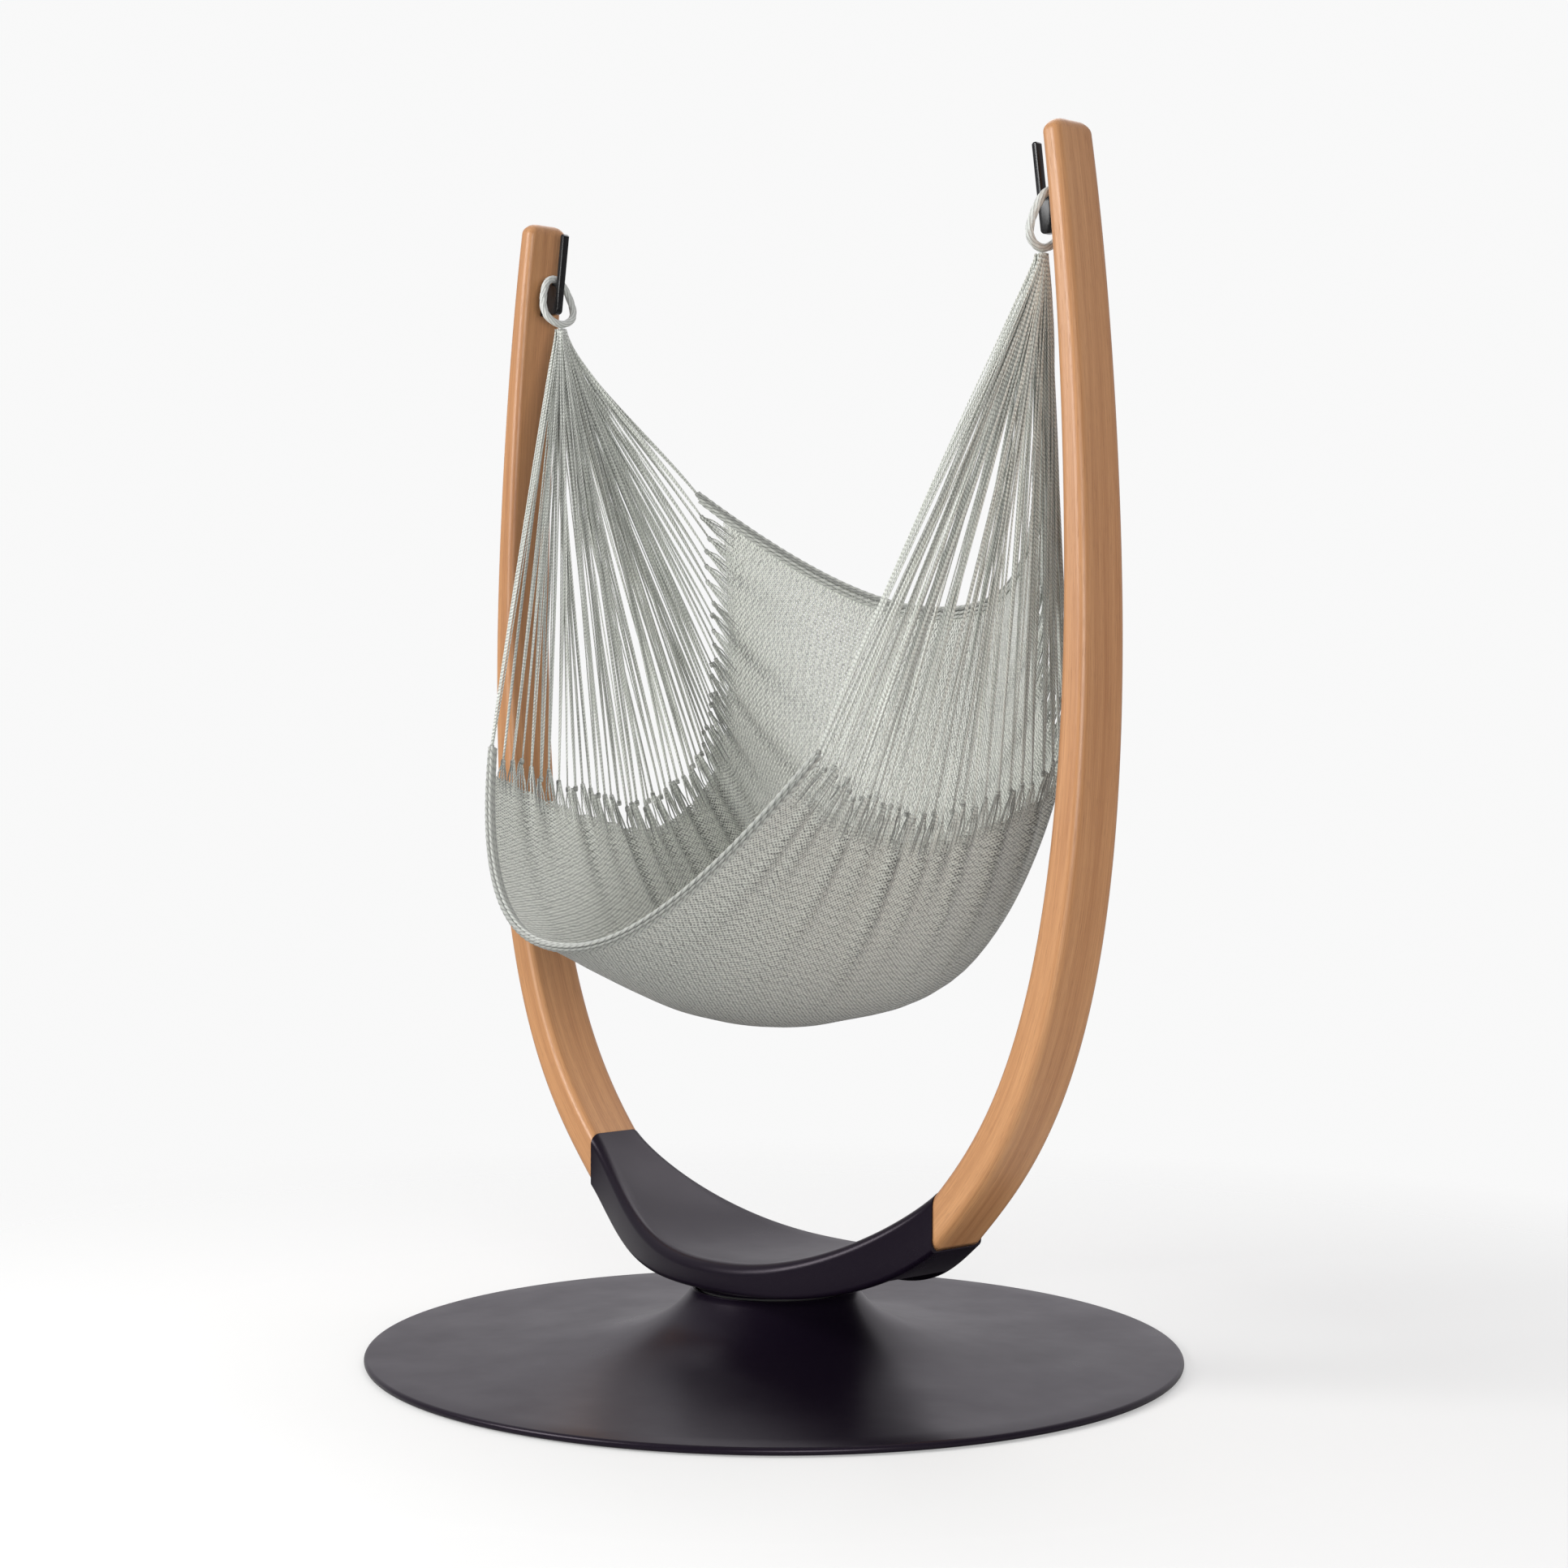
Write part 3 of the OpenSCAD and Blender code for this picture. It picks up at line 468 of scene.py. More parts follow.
# %% Orange-peel of a powder coat
peel, got, out = new_group(
    "coat peel",
    [("Place", "NodeSocketVector", None), ("Scale", "NodeSocketFloat", 700.0)],
    [("Height", "NodeSocketFloat"), ("Cloud", "NodeSocketFloat"), ("Dust", "NodeSocketFloat")],
)
feed(peel, out["Height"], noise(peel, got["Place"], got["Scale"], 2, 0.5))
feed(peel, out["Cloud"], noise(peel, got["Place"], 7.0, 3, 0.6))
feed(peel, out["Dust"], spread(peel, noise(peel, got["Place"], 1900, 1, 0.5), 0.66, 0.78))

# %% Wood finish
oiled_wood, tree, shader = new_material("oiled wood", 0.42, Coat_Weight=0.10, Coat_Roughness=0.28)
wood = use(tree, grain, Place=noted(tree, "lay"), Pale=(0.70, 0.365, 0.165, 1), Deep=(0.38, 0.155, 0.058, 1))
feed(tree, shader["Base Color"], wood["Color"])
feed(tree, shader["Roughness"], spread(tree, wood["Open"], 0, 1, 0.40, 0.62))
feed(tree, shader["Normal"], bumped(tree, wood["Height"], 0.00012, 0.6))

# %% Painted and bare metal
def coated(name, colour, roughness, scale, depth, coat=0.0, gleam=(1, 1, 1, 1)):
    """Painted metal: a dark coat with a fine peel, faint clouds in its gloss and a little dust"""
    material, tree, shader = new_material(name, roughness, Coat_Weight=coat, Coat_Roughness=0.2,
                                          Specular_Tint=gleam, Specular_IOR_Level=0.24)
    place = tree.nodes.new("ShaderNodeTexCoord").outputs["Object"]
    skin = use(tree, peel, Place=place, Scale=scale)
    dust = maths(tree, "MULTIPLY", skin["Dust"], 0.10)
    dusty = blend_colour(tree, dust, (*colour, 1), (0.35, 0.34, 0.34, 1))
    feed(tree, shader["Base Color"], dusty)
    feed(tree, shader["Roughness"], spread(tree, skin["Cloud"], 0.3, 0.7, roughness - 0.03, roughness + 0.04))
    feed(tree, shader["Normal"], bumped(tree, skin["Height"], depth, 0.5))
    return material


black_coat = coated("black coat", (0.0064, 0.0038, 0.0092), 0.30, 700, 0.00004, 0.0, (1.0, 0.88, 1.0, 1))
hook_black = coated("hook black", (0.010, 0.010, 0.011), 0.22, 900, 0.00003, 0.3)
ballast_steel = coated("ballast primer", (0.06, 0.06, 0.06), 0.7, 500, 0.0001)
black_rubber = coated("black rubber", (0.02, 0.02, 0.02), 0.8, 1200, 0.0001)

bare_steel, tree, shader = new_material("turned steel", 0.3, Metallic=1.0)
steel_place = tree.nodes.new("ShaderNodeTexCoord").outputs["Object"]
turning = noise(tree, scaled(tree, steel_place, (40, 40, 2600)), 1.0, 2, 0.5)
feed(tree, shader["Base Color"], blend_colour(tree, turning, (0.50, 0.50, 0.52, 1), (0.66, 0.66, 0.68, 1)))
feed(tree, shader["Roughness"], spread(tree, turning, 0.3, 0.7, 0.24, 0.38))

# %% Yarns, cords and cloth
def spun(name, colour, plies, turn, depth, groove_shade=0.25):
    """Cotton yarn or cord: a twist in its height, painted shade in the grooves between its plies, and each yarn's
    own lightness
    """
    material, tree, shader = new_material(name, 0.82, Sheen_Weight=0.25, Sheen_Roughness=0.5)
    ply = use(tree, twist, Place=noted(tree, "lay"), Plies=plies, Turn=turn)
    shade = maths(tree, "MULTIPLY", ply["Shade"], noted(tree, "tone", "Fac"))
    # The dark colour is painted shade in the grooves of the twist.
    dark = tuple(groove_shade * c for c in colour)
    feed(tree, shader["Base Color"], blend_colour(tree, shade, (*dark, 1), (*colour, 1)))
    feed(tree, shader["Normal"], bumped(tree, ply["Height"], depth))
    return material


yarn = spun("spun yarn", (0.82, 0.845, 0.78), 2, 0.006, 0.0006, 0.16)
selvedge_cord = spun("selvedge cord", (0.70, 0.72, 0.665), 2, 0.014, 0.0008, 0.12)
loop_rope = spun("loop rope", (0.72, 0.74, 0.70), 8, 0.016, 0.0004)

woven_cloth, tree, shader = new_material("woven cloth", 0.85, Sheen_Weight=0.2, Sheen_Roughness=0.5)
knit = use(tree, weave, Place=noted(tree, "lay"), Open=noted(tree, "tone", "Fac"))
# The near-black colour is painted shade: it shows in the gaps between yarns, the ripple troughs, the creases and
# the open back.
cloth_colour = blend_colour(tree, knit["Shade"], (0.09, 0.095, 0.085, 1), (0.87, 0.89, 0.82, 1))
feed(tree, shader["Base Color"], cloth_colour)
feed(tree, shader["Alpha"], knit["Cover"])
feed(tree, shader["Normal"], bumped(tree, knit["Height"], 0.0009, 0.9))

finish = {
    "black_coat": black_coat,
    "ballast_steel": ballast_steel,
    "hook_black": hook_black,
    "bare_steel": bare_steel,
    "black_rubber": black_rubber,
    "oiled_wood": oiled_wood,
    "woven_cloth": woven_cloth,
    "selvedge_cord": selvedge_cord,
    "yarn": yarn,
    "loop_rope": loop_rope,
}
for part in frame["record"]["subparts"]:
    node = frame["nodes"][part["node"]]
    node.data.materials.clear()
    node.data.materials.append(finish[part["material_slot"]])
print(len(finish), "finishes")

# %% [markdown]
# The foot is a spun steel trumpet: one profile turned round the upright axis. The CAD foot
# has the same profile, but its surface is cut into flat steps that a gloss would show, so
# the profile is turned again here with more steps.

# %% Foot
foot_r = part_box("base_disc")[1].x
neck_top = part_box("base_disc")[1].z
foot_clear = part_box("base_disc")[0].z
rim_high = 13 * MM
shell = 4 * MM
neck_r = 124 * MM
neck_in = neck_r - 4 * MM
land = 28 * MM
plate_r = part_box("ballast_plate")[1].x
rim_roll = (rim_high - foot_clear) / 2


def flare(r):
    """Height of the foot's upper surface: steep at the neck and nearly flat at the rim"""
    return rim_high + (neck_top - rim_high) * (r**-2 - foot_r**-2) / (neck_r**-2 - foot_r**-2)


def turned(piece, profile, steps=192):
    """Turns a closed profile of (radius, height) round the upright axis"""
    profile = np.asarray(profile)
    angle = np.arange(steps) * 2 * math.pi / steps
    points = np.stack(
        [
            np.cos(angle)[:, None] * profile[:, 0],
            np.sin(angle)[:, None] * profile[:, 0],
            np.broadcast_to(profile[:, 1], (steps, len(profile))),
        ],
        -1,
    )
    piece.add(points, grid_faces(steps, len(profile), True, True))


def sharp(profile, index, gap=0.3 * MM):
    """The profile with a second point close to each of these, which keeps the corner crisp"""
    made = []
    for i, p in enumerate(profile):
        p = np.asarray(p, float)
        if i in index:
            before = np.asarray(profile[i - 1], float)
            after = np.asarray(profile[(i + 1) % len(profile)], float)
            made += [p + gap * unit(before - p), p, p + gap * unit(after - p)]
        else:
            made.append(p)
    return made


rim = [
    (foot_r - rim_roll + rim_roll * math.cos(a), foot_clear + rim_roll + rim_roll * math.sin(a))
    for a in np.radians(np.arange(-90, 85, 12))
]
upper = [(r, flare(r)) for r in mix(foot_r - rim_roll, neck_r + 1.5 * MM, np.linspace(0, 1, 60) ** 0.6)]
lip = [(neck_r, neck_top - 1.5 * MM), (neck_r - 0.8 * MM, neck_top),
       (neck_in, neck_top), (neck_in, neck_top - land)]
under_r = neck_r * math.sqrt((neck_top - rim_high) / (neck_top - land + shell - rim_high)) - shell
under = [(r, flare(r + shell) - shell) for r in mix(under_r, plate_r + 8 * MM, np.linspace(0, 1, 24) ** 1.6)]
foot_profile = rim + upper + lip + under + [(plate_r + 8 * MM, foot_clear)]
foot = Piece()
turned(foot, sharp(foot_profile, {len(rim + upper) + 1, len(rim + upper) + 2, len(rim + upper) + 3,
                                  len(foot_profile) - 1, len(foot_profile) - 2}))
foot.make("foot_shell", "base", black_coat, ["base_disc"], "black_coat")

# %% [markdown]
# The yoke is a saddle cast in one piece. Its section changes along its length: wide and
# dished in the middle, narrow where it grips the arms, with broad soft upper rims. A loft
# through many sections gives that, as it does in the CAD, but with finer roundings.

# %% Yoke
cut_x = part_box("yoke")[1].x
hub_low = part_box("yoke")[0].z
yoke_low = hub_low + 9 * MM
yoke_high = yoke_low + 44 * MM
cut_z = yoke_low + 137 * MM
arm_start_angle = math.radians(46)
arm_t_low, arm_t_high = 56 * MM, 31 * MM
arm_w_low, arm_w_high = 97 * MM, 77 * MM
socket_lip = 2 * MM
yoke_half_w = 145 * MM
yoke_dish = 5 * MM
yoke_round = 17 * MM
yoke_edge = 8 * MM
joint_half_h = arm_t_low / 2 / math.cos(arm_start_angle) + socket_lip
yoke_end_w = arm_w_low / 2 + socket_lip


def yoke_section(x):
    """One section of the yoke at distance x from the middle, as points (x, y, z)"""
    share = abs(x) / cut_x
    w = yoke_end_w + (yoke_half_w - yoke_end_w) * max(0.0, 1 - share**2) ** 1.5
    low = yoke_low + (cut_z - joint_half_h - yoke_low) * share**3.2
    high = yoke_high + (cut_z + joint_half_h - yoke_high) * share**2.3
    dish = yoke_dish * (1 - share**2)
    half = [(0.0, low), (0.5 * (w - yoke_edge), low)]
    half += [(w - yoke_edge + yoke_edge * math.sin(a), low + yoke_edge - yoke_edge * math.cos(a))
             for a in np.radians(np.arange(0, 91, 15))]
    half += [(w, mix(low + yoke_edge, high - yoke_round, 0.5))]
    half += [(w - yoke_round + yoke_round * math.cos(a), high - yoke_round + yoke_round * math.sin(a))
             for a in np.radians(np.arange(0, 91, 9))]
    inner = w - yoke_round
    half += [(inner * k, high - dish * (1 - k**2)) for k in (0.85, 0.7, 0.5, 0.25)]
    ring = half + [(0.0, high - dish)] + [(-y, z) for y, z in half[:0:-1]]
    return [(x, y, z) for y, z in ring]


def lofted(piece, sections, lay=None, tone=1.0):
    """A solid skin through closed sections, with flat ends"""
    sections = np.asarray(sections, float)
    rows, sides = sections.shape[:2]
    faces = [tuple(f) for f in grid_faces(rows, sides, False, True)]
    faces.append(tuple(range(sides - 1, -1, -1)))
    faces.append(tuple(range((rows - 1) * sides, rows * sides)))
    piece.add(sections, faces, lay, tone)


yoke = Piece()
yoke_stations = cut_x * np.sin(np.linspace(-1, 1, 121) * math.radians(89.9)) / math.sin(math.radians(89.9))
end_lip = 0.6 * MM
yoke_stations = np.concatenate([[-cut_x, -cut_x + end_lip], yoke_stations[3:-3], [cut_x - end_lip, cut_x]])
lofted(yoke, [yoke_section(x) for x in yoke_stations])
yoke_piece = yoke.make("saddle_yoke", "stand", black_coat, ["yoke"], "black_coat")

# %% [markdown]
# Two hollows lighten the yoke from below, and four counterbores let the arms' bolts in. A
# Boolean modifier cuts them, which is how one would do it by hand as well; it is applied at
# once, so that the finished mesh is plain.

# %% Hollows under the yoke
hub_r = 121 * MM
tenon_len = 66 * MM
tenon_angle = math.radians(42)
hollow_from, hollow_to = hub_r + 10 * MM, cut_x - tenon_len - 10 * MM
wall, skin, hollow_round = 13 * MM, 14 * MM, 10 * MM


def hollow_section(x):
    share = abs(x) / cut_x
    w = yoke_end_w + (yoke_half_w - yoke_end_w) * (1 - share**2) ** 1.5 - wall
    low = yoke_low + (cut_z - joint_half_h - yoke_low) * share**3.2 - 5 * MM
    high = yoke_high + (cut_z + joint_half_h - yoke_high) * share**2.3 - skin
    centre_y, centre_z = w - hollow_round, high - hollow_round
    half = [(w, low)]
    half += [(centre_y + hollow_round * math.cos(a), centre_z + hollow_round * math.sin(a))
             for a in np.radians(np.arange(0, 91, 15))]
    return [(x, y, z) for y, z in half + [(-y, z) for y, z in half[::-1]]]


def at_joint(along, across, normal):
    """A point given along the tenon, across it and square to it, from the right arm's joint"""
    c, s = math.cos(tenon_angle), math.sin(tenon_angle)
    return (cut_x + along * c - normal * s, across, cut_z + along * s + normal * c)


cutter = Piece()
lofted(cutter, [hollow_section(x) for x in np.linspace(hollow_from, hollow_to, 17)])
for across in (-20 * MM, 20 * MM):
    path = [at_joint(-34 * MM, across, -h * MM) for h in (19, 75)]
    add_tubes(cutter, path, 7.3 * MM, 32, reference=(0, 1, 0))
both = [cutter, cutter.mirrored()]
cutters = []
for side, name in zip(both, ("right_cut", "left_cut")):
    mesh = bpy.data.meshes.new(name)
    mesh.from_pydata(np.concatenate(side.points).tolist(), [], side.faces)
    cut = bpy.data.objects.new(name, mesh)
    bpy.context.collection.objects.link(cut)
    modifier = yoke_piece.modifiers.new(name, "BOOLEAN")
    modifier.operation = "DIFFERENCE"
    modifier.solver = "EXACT"
    modifier.object = cut
    cutters.append(cut)
bpy.context.view_layer.update()
carved = bpy.data.meshes.new_from_object(yoke_piece.evaluated_get(bpy.context.evaluated_depsgraph_get()))
yoke_piece.modifiers.clear()
yoke_piece.data = carved
carved.shade_smooth()
carved.set_sharp_from_angle(angle=math.radians(40))
for cut in cutters:
    bpy.data.objects.remove(cut)
print("yoke carved", len(carved.polygons), "faces")

# %% Hub under the yoke
hub = Piece()
turned(hub, sharp([(30 * MM, hub_low + 1 * MM), (hub_r - 1 * MM, hub_low), (hub_r, hub_low + 1 * MM),
                   (hub_r, yoke_low + 4 * MM), (30 * MM, yoke_low + 4 * MM)], {0, 3, 4}), 128)
hub.make("yoke_hub", "stand", black_coat, (), "black_coat")

# %% [markdown]
# The arms are steam-bent and tapered. Their middle line is two Bezier curves that meet at
# the widest point; sections slide along it, thinner and narrower towards the tip, and the
# tip is rounded off. The grain runs along the curve because `lay` is measured along it.

# %% Arms
arm_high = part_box("right_arm")[1].z
tip_x, belly_x, belly_z = 569 * MM, 624 * MM, 1080 * MM
arm_lean = math.radians(9.5)
arm_round = 12 * MM
tip_round_h, tip_round_t, tip_round_w = 17 * MM, 12 * MM, 22 * MM
start, belly, tip = np.array([cut_x, cut_z]), np.array([belly_x, belly_z]), np.array([tip_x, arm_high])
lower_run, upper_run = np.linalg.norm(belly - start), np.linalg.norm(tip - belly)
leaving = np.array([math.cos(arm_start_angle), math.sin(arm_start_angle)])
arriving = np.array([-math.sin(arm_lean), math.cos(arm_lean)])
lower_curve = [start, start + 0.18 * lower_run * leaving, belly - [0, 0.645 * lower_run], belly]
upper_curve = [belly, belly + [0, 0.165 * upper_run], tip - 0.41 * upper_run * arriving, tip]


def arm_centre(t):
    """Middle line of an arm: 0 at the yoke, 1 at the widest place, 2 at the tip"""
    t = np.asarray(t, float)
    lower = bezier(lower_curve, np.clip(t, 0, 1))
    upper = bezier(upper_curve, np.clip(t - 1, 0, 1))
    return np.where((t < 1)[..., None], lower, upper)


def arm_outline(half_t, half_w):
    """Section of an arm, with divided flats so that the surface stays even"""
    r = min(arm_round, half_t - 0.4 * MM)
    made = []
    corners = ((1, -1, 360), (-1, -1, 270), (-1, 1, 180), (1, 1, 90))
    arcs = [[np.array([sx * (half_t - r) + r * math.cos(math.radians(turn - a)),
                       sy * (half_w - r) + r * math.sin(math.radians(turn - a))]) for a in range(0, 91, 10)]
            for sx, sy, turn in corners]
    for k, arc in enumerate(arcs):
        following = arcs[(k + 1) % 4][0]
        made += arc + [mix(arc[-1], following, s) for s in (0.08, 0.5, 0.92)]
    return np.array(made)


def arm_rings():
    """Points of an arm's surface ring by ring, and where each lies across, wide and along"""
    end_speed = 3 * 0.41 * upper_run
    last = 2 - tip_round_h * 1.4 / end_speed
    stations = [(t, 1.0) for t in np.linspace(0, last, 150)]
    stations += [(2 - e / end_speed, e) for e in tip_round_h * (1 - np.sin(np.radians(np.arange(0, 91, 9))))]
    rings, lays, run, before = [], [], 0.0, arm_centre(0.0)
    for t, drop in stations:
        c = arm_centre(t)
        along = unit(arm_centre(min(2, t + 0.002)) - arm_centre(max(0, t - 0.002)))
        inward = np.array([-along[1], along[0]])
        share = (c[1] - cut_z) / (arm_high - cut_z)
        fade = 0 if drop >= tip_round_h else 1 - math.sqrt(1 - (1 - drop / tip_round_h) ** 2)
        outline = arm_outline(mix(arm_t_low, arm_t_high, share) / 2 - tip_round_t * fade,
                              mix(arm_w_low, arm_w_high, share) / 2 - tip_round_w * fade)
        run += np.linalg.norm(c - before)
        before = c
        at = c + outline[:, :1] * inward
        slide = (cut_x - (start + outline[:, :1] * np.array([-leaving[1], leaving[0]]))[:, 0]) / leaving[0]
        at = at + (slide * max(0.0, 1 - run / (80 * MM)))[:, None] * along
        rings.append(np.stack([at[:, 0], outline[:, 1], at[:, 1]], -1))
        lays.append(np.stack([outline[:, 0], outline[:, 1], np.full(len(outline), run)], -1))
    return np.array(rings), np.array(lays)


rings, lays = arm_rings()
arm = Piece()
lofted(arm, rings[:, ::-1], lays[:, ::-1] + [0.3, 0.1, 0])
arm.make("right_wood_arm", "stand", oiled_wood, ["right_arm"], "oiled_wood")
other_arm = arm.mirrored()
other_arm.lay = [lay + [0.5, 0.2, 3.0] for lay in other_arm.lay]
other_arm.make("left_wood_arm", "stand", oiled_wood, ["left_arm"], "oiled_wood")

# %% [markdown]
# The hooks are cut from black plate. A polygon is extruded and its edges are bevelled, so
# that the light catches them; the bridge that carries the loop has a fully round top.

# %% Hooks
hook_low, hook_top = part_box("right_hook")
hook_t, hook_gap, hook_inlet, prong_w = 12 * MM, 36 * MM, 8 * MM, 9 * MM
bridge_low, prong_top = hook_low.z, hook_top.z
hook_h = bridge_low + 52 * MM
seat_r = hook_t / 2
seat_z = hook_h - seat_r
arm_line = arm_centre(np.linspace(0, 2, 400))


def wood_face(z):
    """Where an arm's inner face lies at height z"""
    share = (z - cut_z) / (arm_high - cut_z)
    half_t = mix(arm_t_low, arm_t_high, share) / 2
    return np.interp(z, arm_line[:, 1], arm_line[:, 0]) - half_t / math.cos(arm_lean * 0.7)


def prong_face(z):
    return wood_face(z) - hook_gap


outline = [
    (prong_face(bridge_low) - prong_w, bridge_low + 8 * MM),
    (prong_face(bridge_low) - prong_w + 0.6 * MM, bridge_low + 4.5 * MM),
    (prong_face(bridge_low) - prong_w + 2.4 * MM, bridge_low + 2.2 * MM),
    (prong_face(bridge_low) - prong_w + 4.8 * MM, bridge_low + 0.6 * MM),
    (prong_face(bridge_low) - prong_w + 8 * MM, bridge_low),
    (wood_face(bridge_low) + hook_inlet, bridge_low),
    (wood_face(hook_h) + hook_inlet, seat_z),
    (prong_face(seat_z), seat_z),
    (prong_face(prong_top), prong_top - 2 * MM),
    (prong_face(prong_top) - 2 * MM, prong_top),
    (prong_face(prong_top) - prong_w + 3 * MM, prong_top),
    (prong_face(prong_top) - prong_w, prong_top - 3 * MM),
]


def bevelled_plate(piece, outline, thickness, bevel):
    """An outline in the X-Z plane, extruded both ways, with rounded edges"""
    outline = np.array(outline)
    ahead, behind = np.roll(outline, -1, axis=0), np.roll(outline, 1, axis=0)
    a, b = unit(outline - behind), unit(ahead - outline)
    normal = unit(np.stack([-(a + b)[:, 1], (a + b)[:, 0]], -1))
    reach = 1 / np.maximum(0.5, np.abs(np.sum(normal * np.stack([-a[:, 1], a[:, 0]], -1), axis=-1)))
    area = np.sum(outline[:, 0] * ahead[:, 1] - outline[:, 1] * ahead[:, 0]) / 2
    inward = normal * np.sign(area) * reach[:, None]
    rings = []
    for y_side in (-1, 1):
        steps = np.radians(np.arange(0, 91, 22.5))
        for s in steps if y_side < 0 else steps[::-1]:
            inset, y = bevel * (1 - math.sin(s)), y_side * (thickness / 2 - bevel * (1 - math.cos(s)))
            flat = outline + inward * inset
            rings.append(np.stack([flat[:, 0], np.full(len(flat), y), flat[:, 1]], -1))
    rings = np.array(rings)
    lofted(piece, rings if area > 0 else rings[:, ::-1])


hook = Piece()
bevelled_plate(hook, outline, hook_t, 1.6 * MM)
seat_path = np.stack([np.linspace(prong_face(seat_z) - 3 * MM, wood_face(hook_h) + 7 * MM, 12), np.zeros(12),
                      np.full(12, seat_z)], -1)
add_tubes(hook, seat_path, seat_r, 32, reference=(0, 0, 1))
for side, piece in (("right", hook), ("left", hook.mirrored())):
    made = piece.make(side + "_loop_hook", "stand", hook_black, [side + "_hook"], "hook_black", smooth=False)
    made.data.shade_smooth()
    made.data.set_sharp_from_angle(angle=math.radians(35))

# %% Hook screws
screws = Piece()
for z in (bridge_low + 11 * MM, hook_h - 11 * MM):
    x_face = prong_face(z) - prong_w
    depths = np.array([4.0, 0.6, 0.2, 0.0, 0.0, 0.1, 1.8]) * MM
    reach = np.array([4.25, 4.25, 4.1, 3.7, 2.2, 2.0, 1.9]) * MM
    angle = np.arange(24) * 2 * math.pi / 24
    head = np.stack([np.broadcast_to((x_face + depths)[:, None], (7, 24)), reach[:, None] * np.cos(angle),
                     z + reach[:, None] * np.sin(angle)], -1)
    lofted(screws, head)
screw_pair = screws.mirrored()
screws.add(np.concatenate(screw_pair.points), screw_pair.faces)
screws.make("hook_screw_heads", "stand", hook_black, ["hook_screws"], "hook_black")

# %% [markdown]
# The hammock. Its cloth hangs between two curved ends, each a line of knots, and its middle
# sags in a deep bowl with a high back. Two smooth lines of points, one along the middle and
# one along the end, give the whole surface. The real one is a net of cotton yarn that keeps
# this shape under its own weight, so the form is laid out directly and its pleats are added
# on top.

# %% Shape of the cloth
swing_z = next(j["pos_m"][2] for j in frame["joints"] if j["name"] == "hammock_swing")
cloth_middle = np.array([[-415, -1022], [-147, -1138], [84, -1162],
                         [280, -1102], [262, -845], [360, -526]]) * MM
cloth_end = np.array([[366, -260, -746], [320, -118, -805], [340, 34, -825],
                      [400, 195, -741], [372, 192, -591], [372, 160, -333]]) * MM
cloth_sag = 2.2
cloth_long = 1.333
bundles = 52


def cloth(u, v):
    """The cloth's middle surface: u from -1 at the left end to 1, v from 0 at the front rim to 1"""
    u, v = np.broadcast_arrays(np.asarray(u, float), np.asarray(v, float))
    m, e = through(cloth_middle, v), through(cloth_end, v)
    s = np.abs(u) ** cloth_sag
    return np.stack([e[..., 0] * u, mix(m[..., 0], e[..., 1], s), swing_z + mix(m[..., 1], e[..., 2], s)], -1)


def cloth_normal(u, v):
    d = 0.004
    over_u = cloth(np.asarray(u) + d, v) - cloth(np.asarray(u) - d, v)
    over_v = cloth(u, np.minimum(1, np.asarray(v) + d)) - cloth(u, np.maximum(0, np.asarray(v) - d))
    return unit(np.cross(over_u, over_v))


fine_count = 240
fine_u = np.linspace(0, 1, fine_count + 1)
fine_v = np.linspace(0, 1, fine_count + 1)
fine = cloth(fine_u[None, :], fine_v[:, None])
fine_steps = np.linalg.norm(np.diff(fine, axis=1), axis=-1)
fine_run = np.concatenate([np.zeros((fine_count + 1, 1)), np.cumsum(fine_steps, axis=1)], 1)
half_width = fine_run[:, -1]


def u_at(distance, v):
    """The u at which the cloth is this far from its middle line, at each v"""
    row = np.clip(np.rint(np.asarray(v) * fine_count).astype(int), 0, fine_count)
    found = [np.interp(d, fine_run[r], fine_u) for d, r in zip(np.ravel(distance), np.ravel(row))]
    return np.array(found).reshape(np.shape(distance))


def half_at(v):
    return np.interp(v, fine_v, half_width)


print("cloth", round(2 * half_width.min(), 3), "to", round(2 * half_width.max(), 3), "m across")

# %% Knots along the end
knot_v = (np.arange(bundles) + 0.5) / bundles
knot_back = (chance.uniform(0, 15, bundles) + 4 * np.sin(np.arange(bundles) * 1.7)) * MM + 3 * MM
knot_v[[0, -1]] = 0.004, 0.996
knot_back[[0, -1]] = 2 * MM
tooth = 52 * MM
knots = cloth(u_at(half_at(knot_v) - knot_back, knot_v), knot_v)

# %% Pleats
crease_at = knot_v[[3, 5, 9, 12, 15, 18, 20, 22, 25, 28, 30, 33, 36, 40, 44, 48]]
crease_deep = chance.uniform(5.0, 11.0, len(crease_at)) * MM
crease_long = chance.uniform(0.10, 0.27, len(crease_at))


def creases(from_end, v):
    """How far the longer creases sink into the cloth"""
    sunk = 0
    for at, deep, long in zip(crease_at, crease_deep, crease_long):
        width = 0.42 / bundles * (1 + 0.6 * from_end / long)
        lean = (v - at - 0.02 * from_end) / width
        sunk = sunk + deep * np.exp(-(lean**2)) * np.exp(-((from_end / long) ** 2))
    return sunk


def pleats(from_end, v):
    """How far the cloth stands off its smooth surface, this far in from the knots"""
    wave = np.cos(2 * math.pi * (v * bundles - 0.5))
    rise = 2.6 * MM * wave * np.exp(-from_end / 0.05)
    half_wave = np.cos(math.pi * (v * bundles - 0.5) + 0.7) * np.exp(-from_end / 0.09)
    return rise + 1.3 * MM * half_wave - creases(from_end, v)


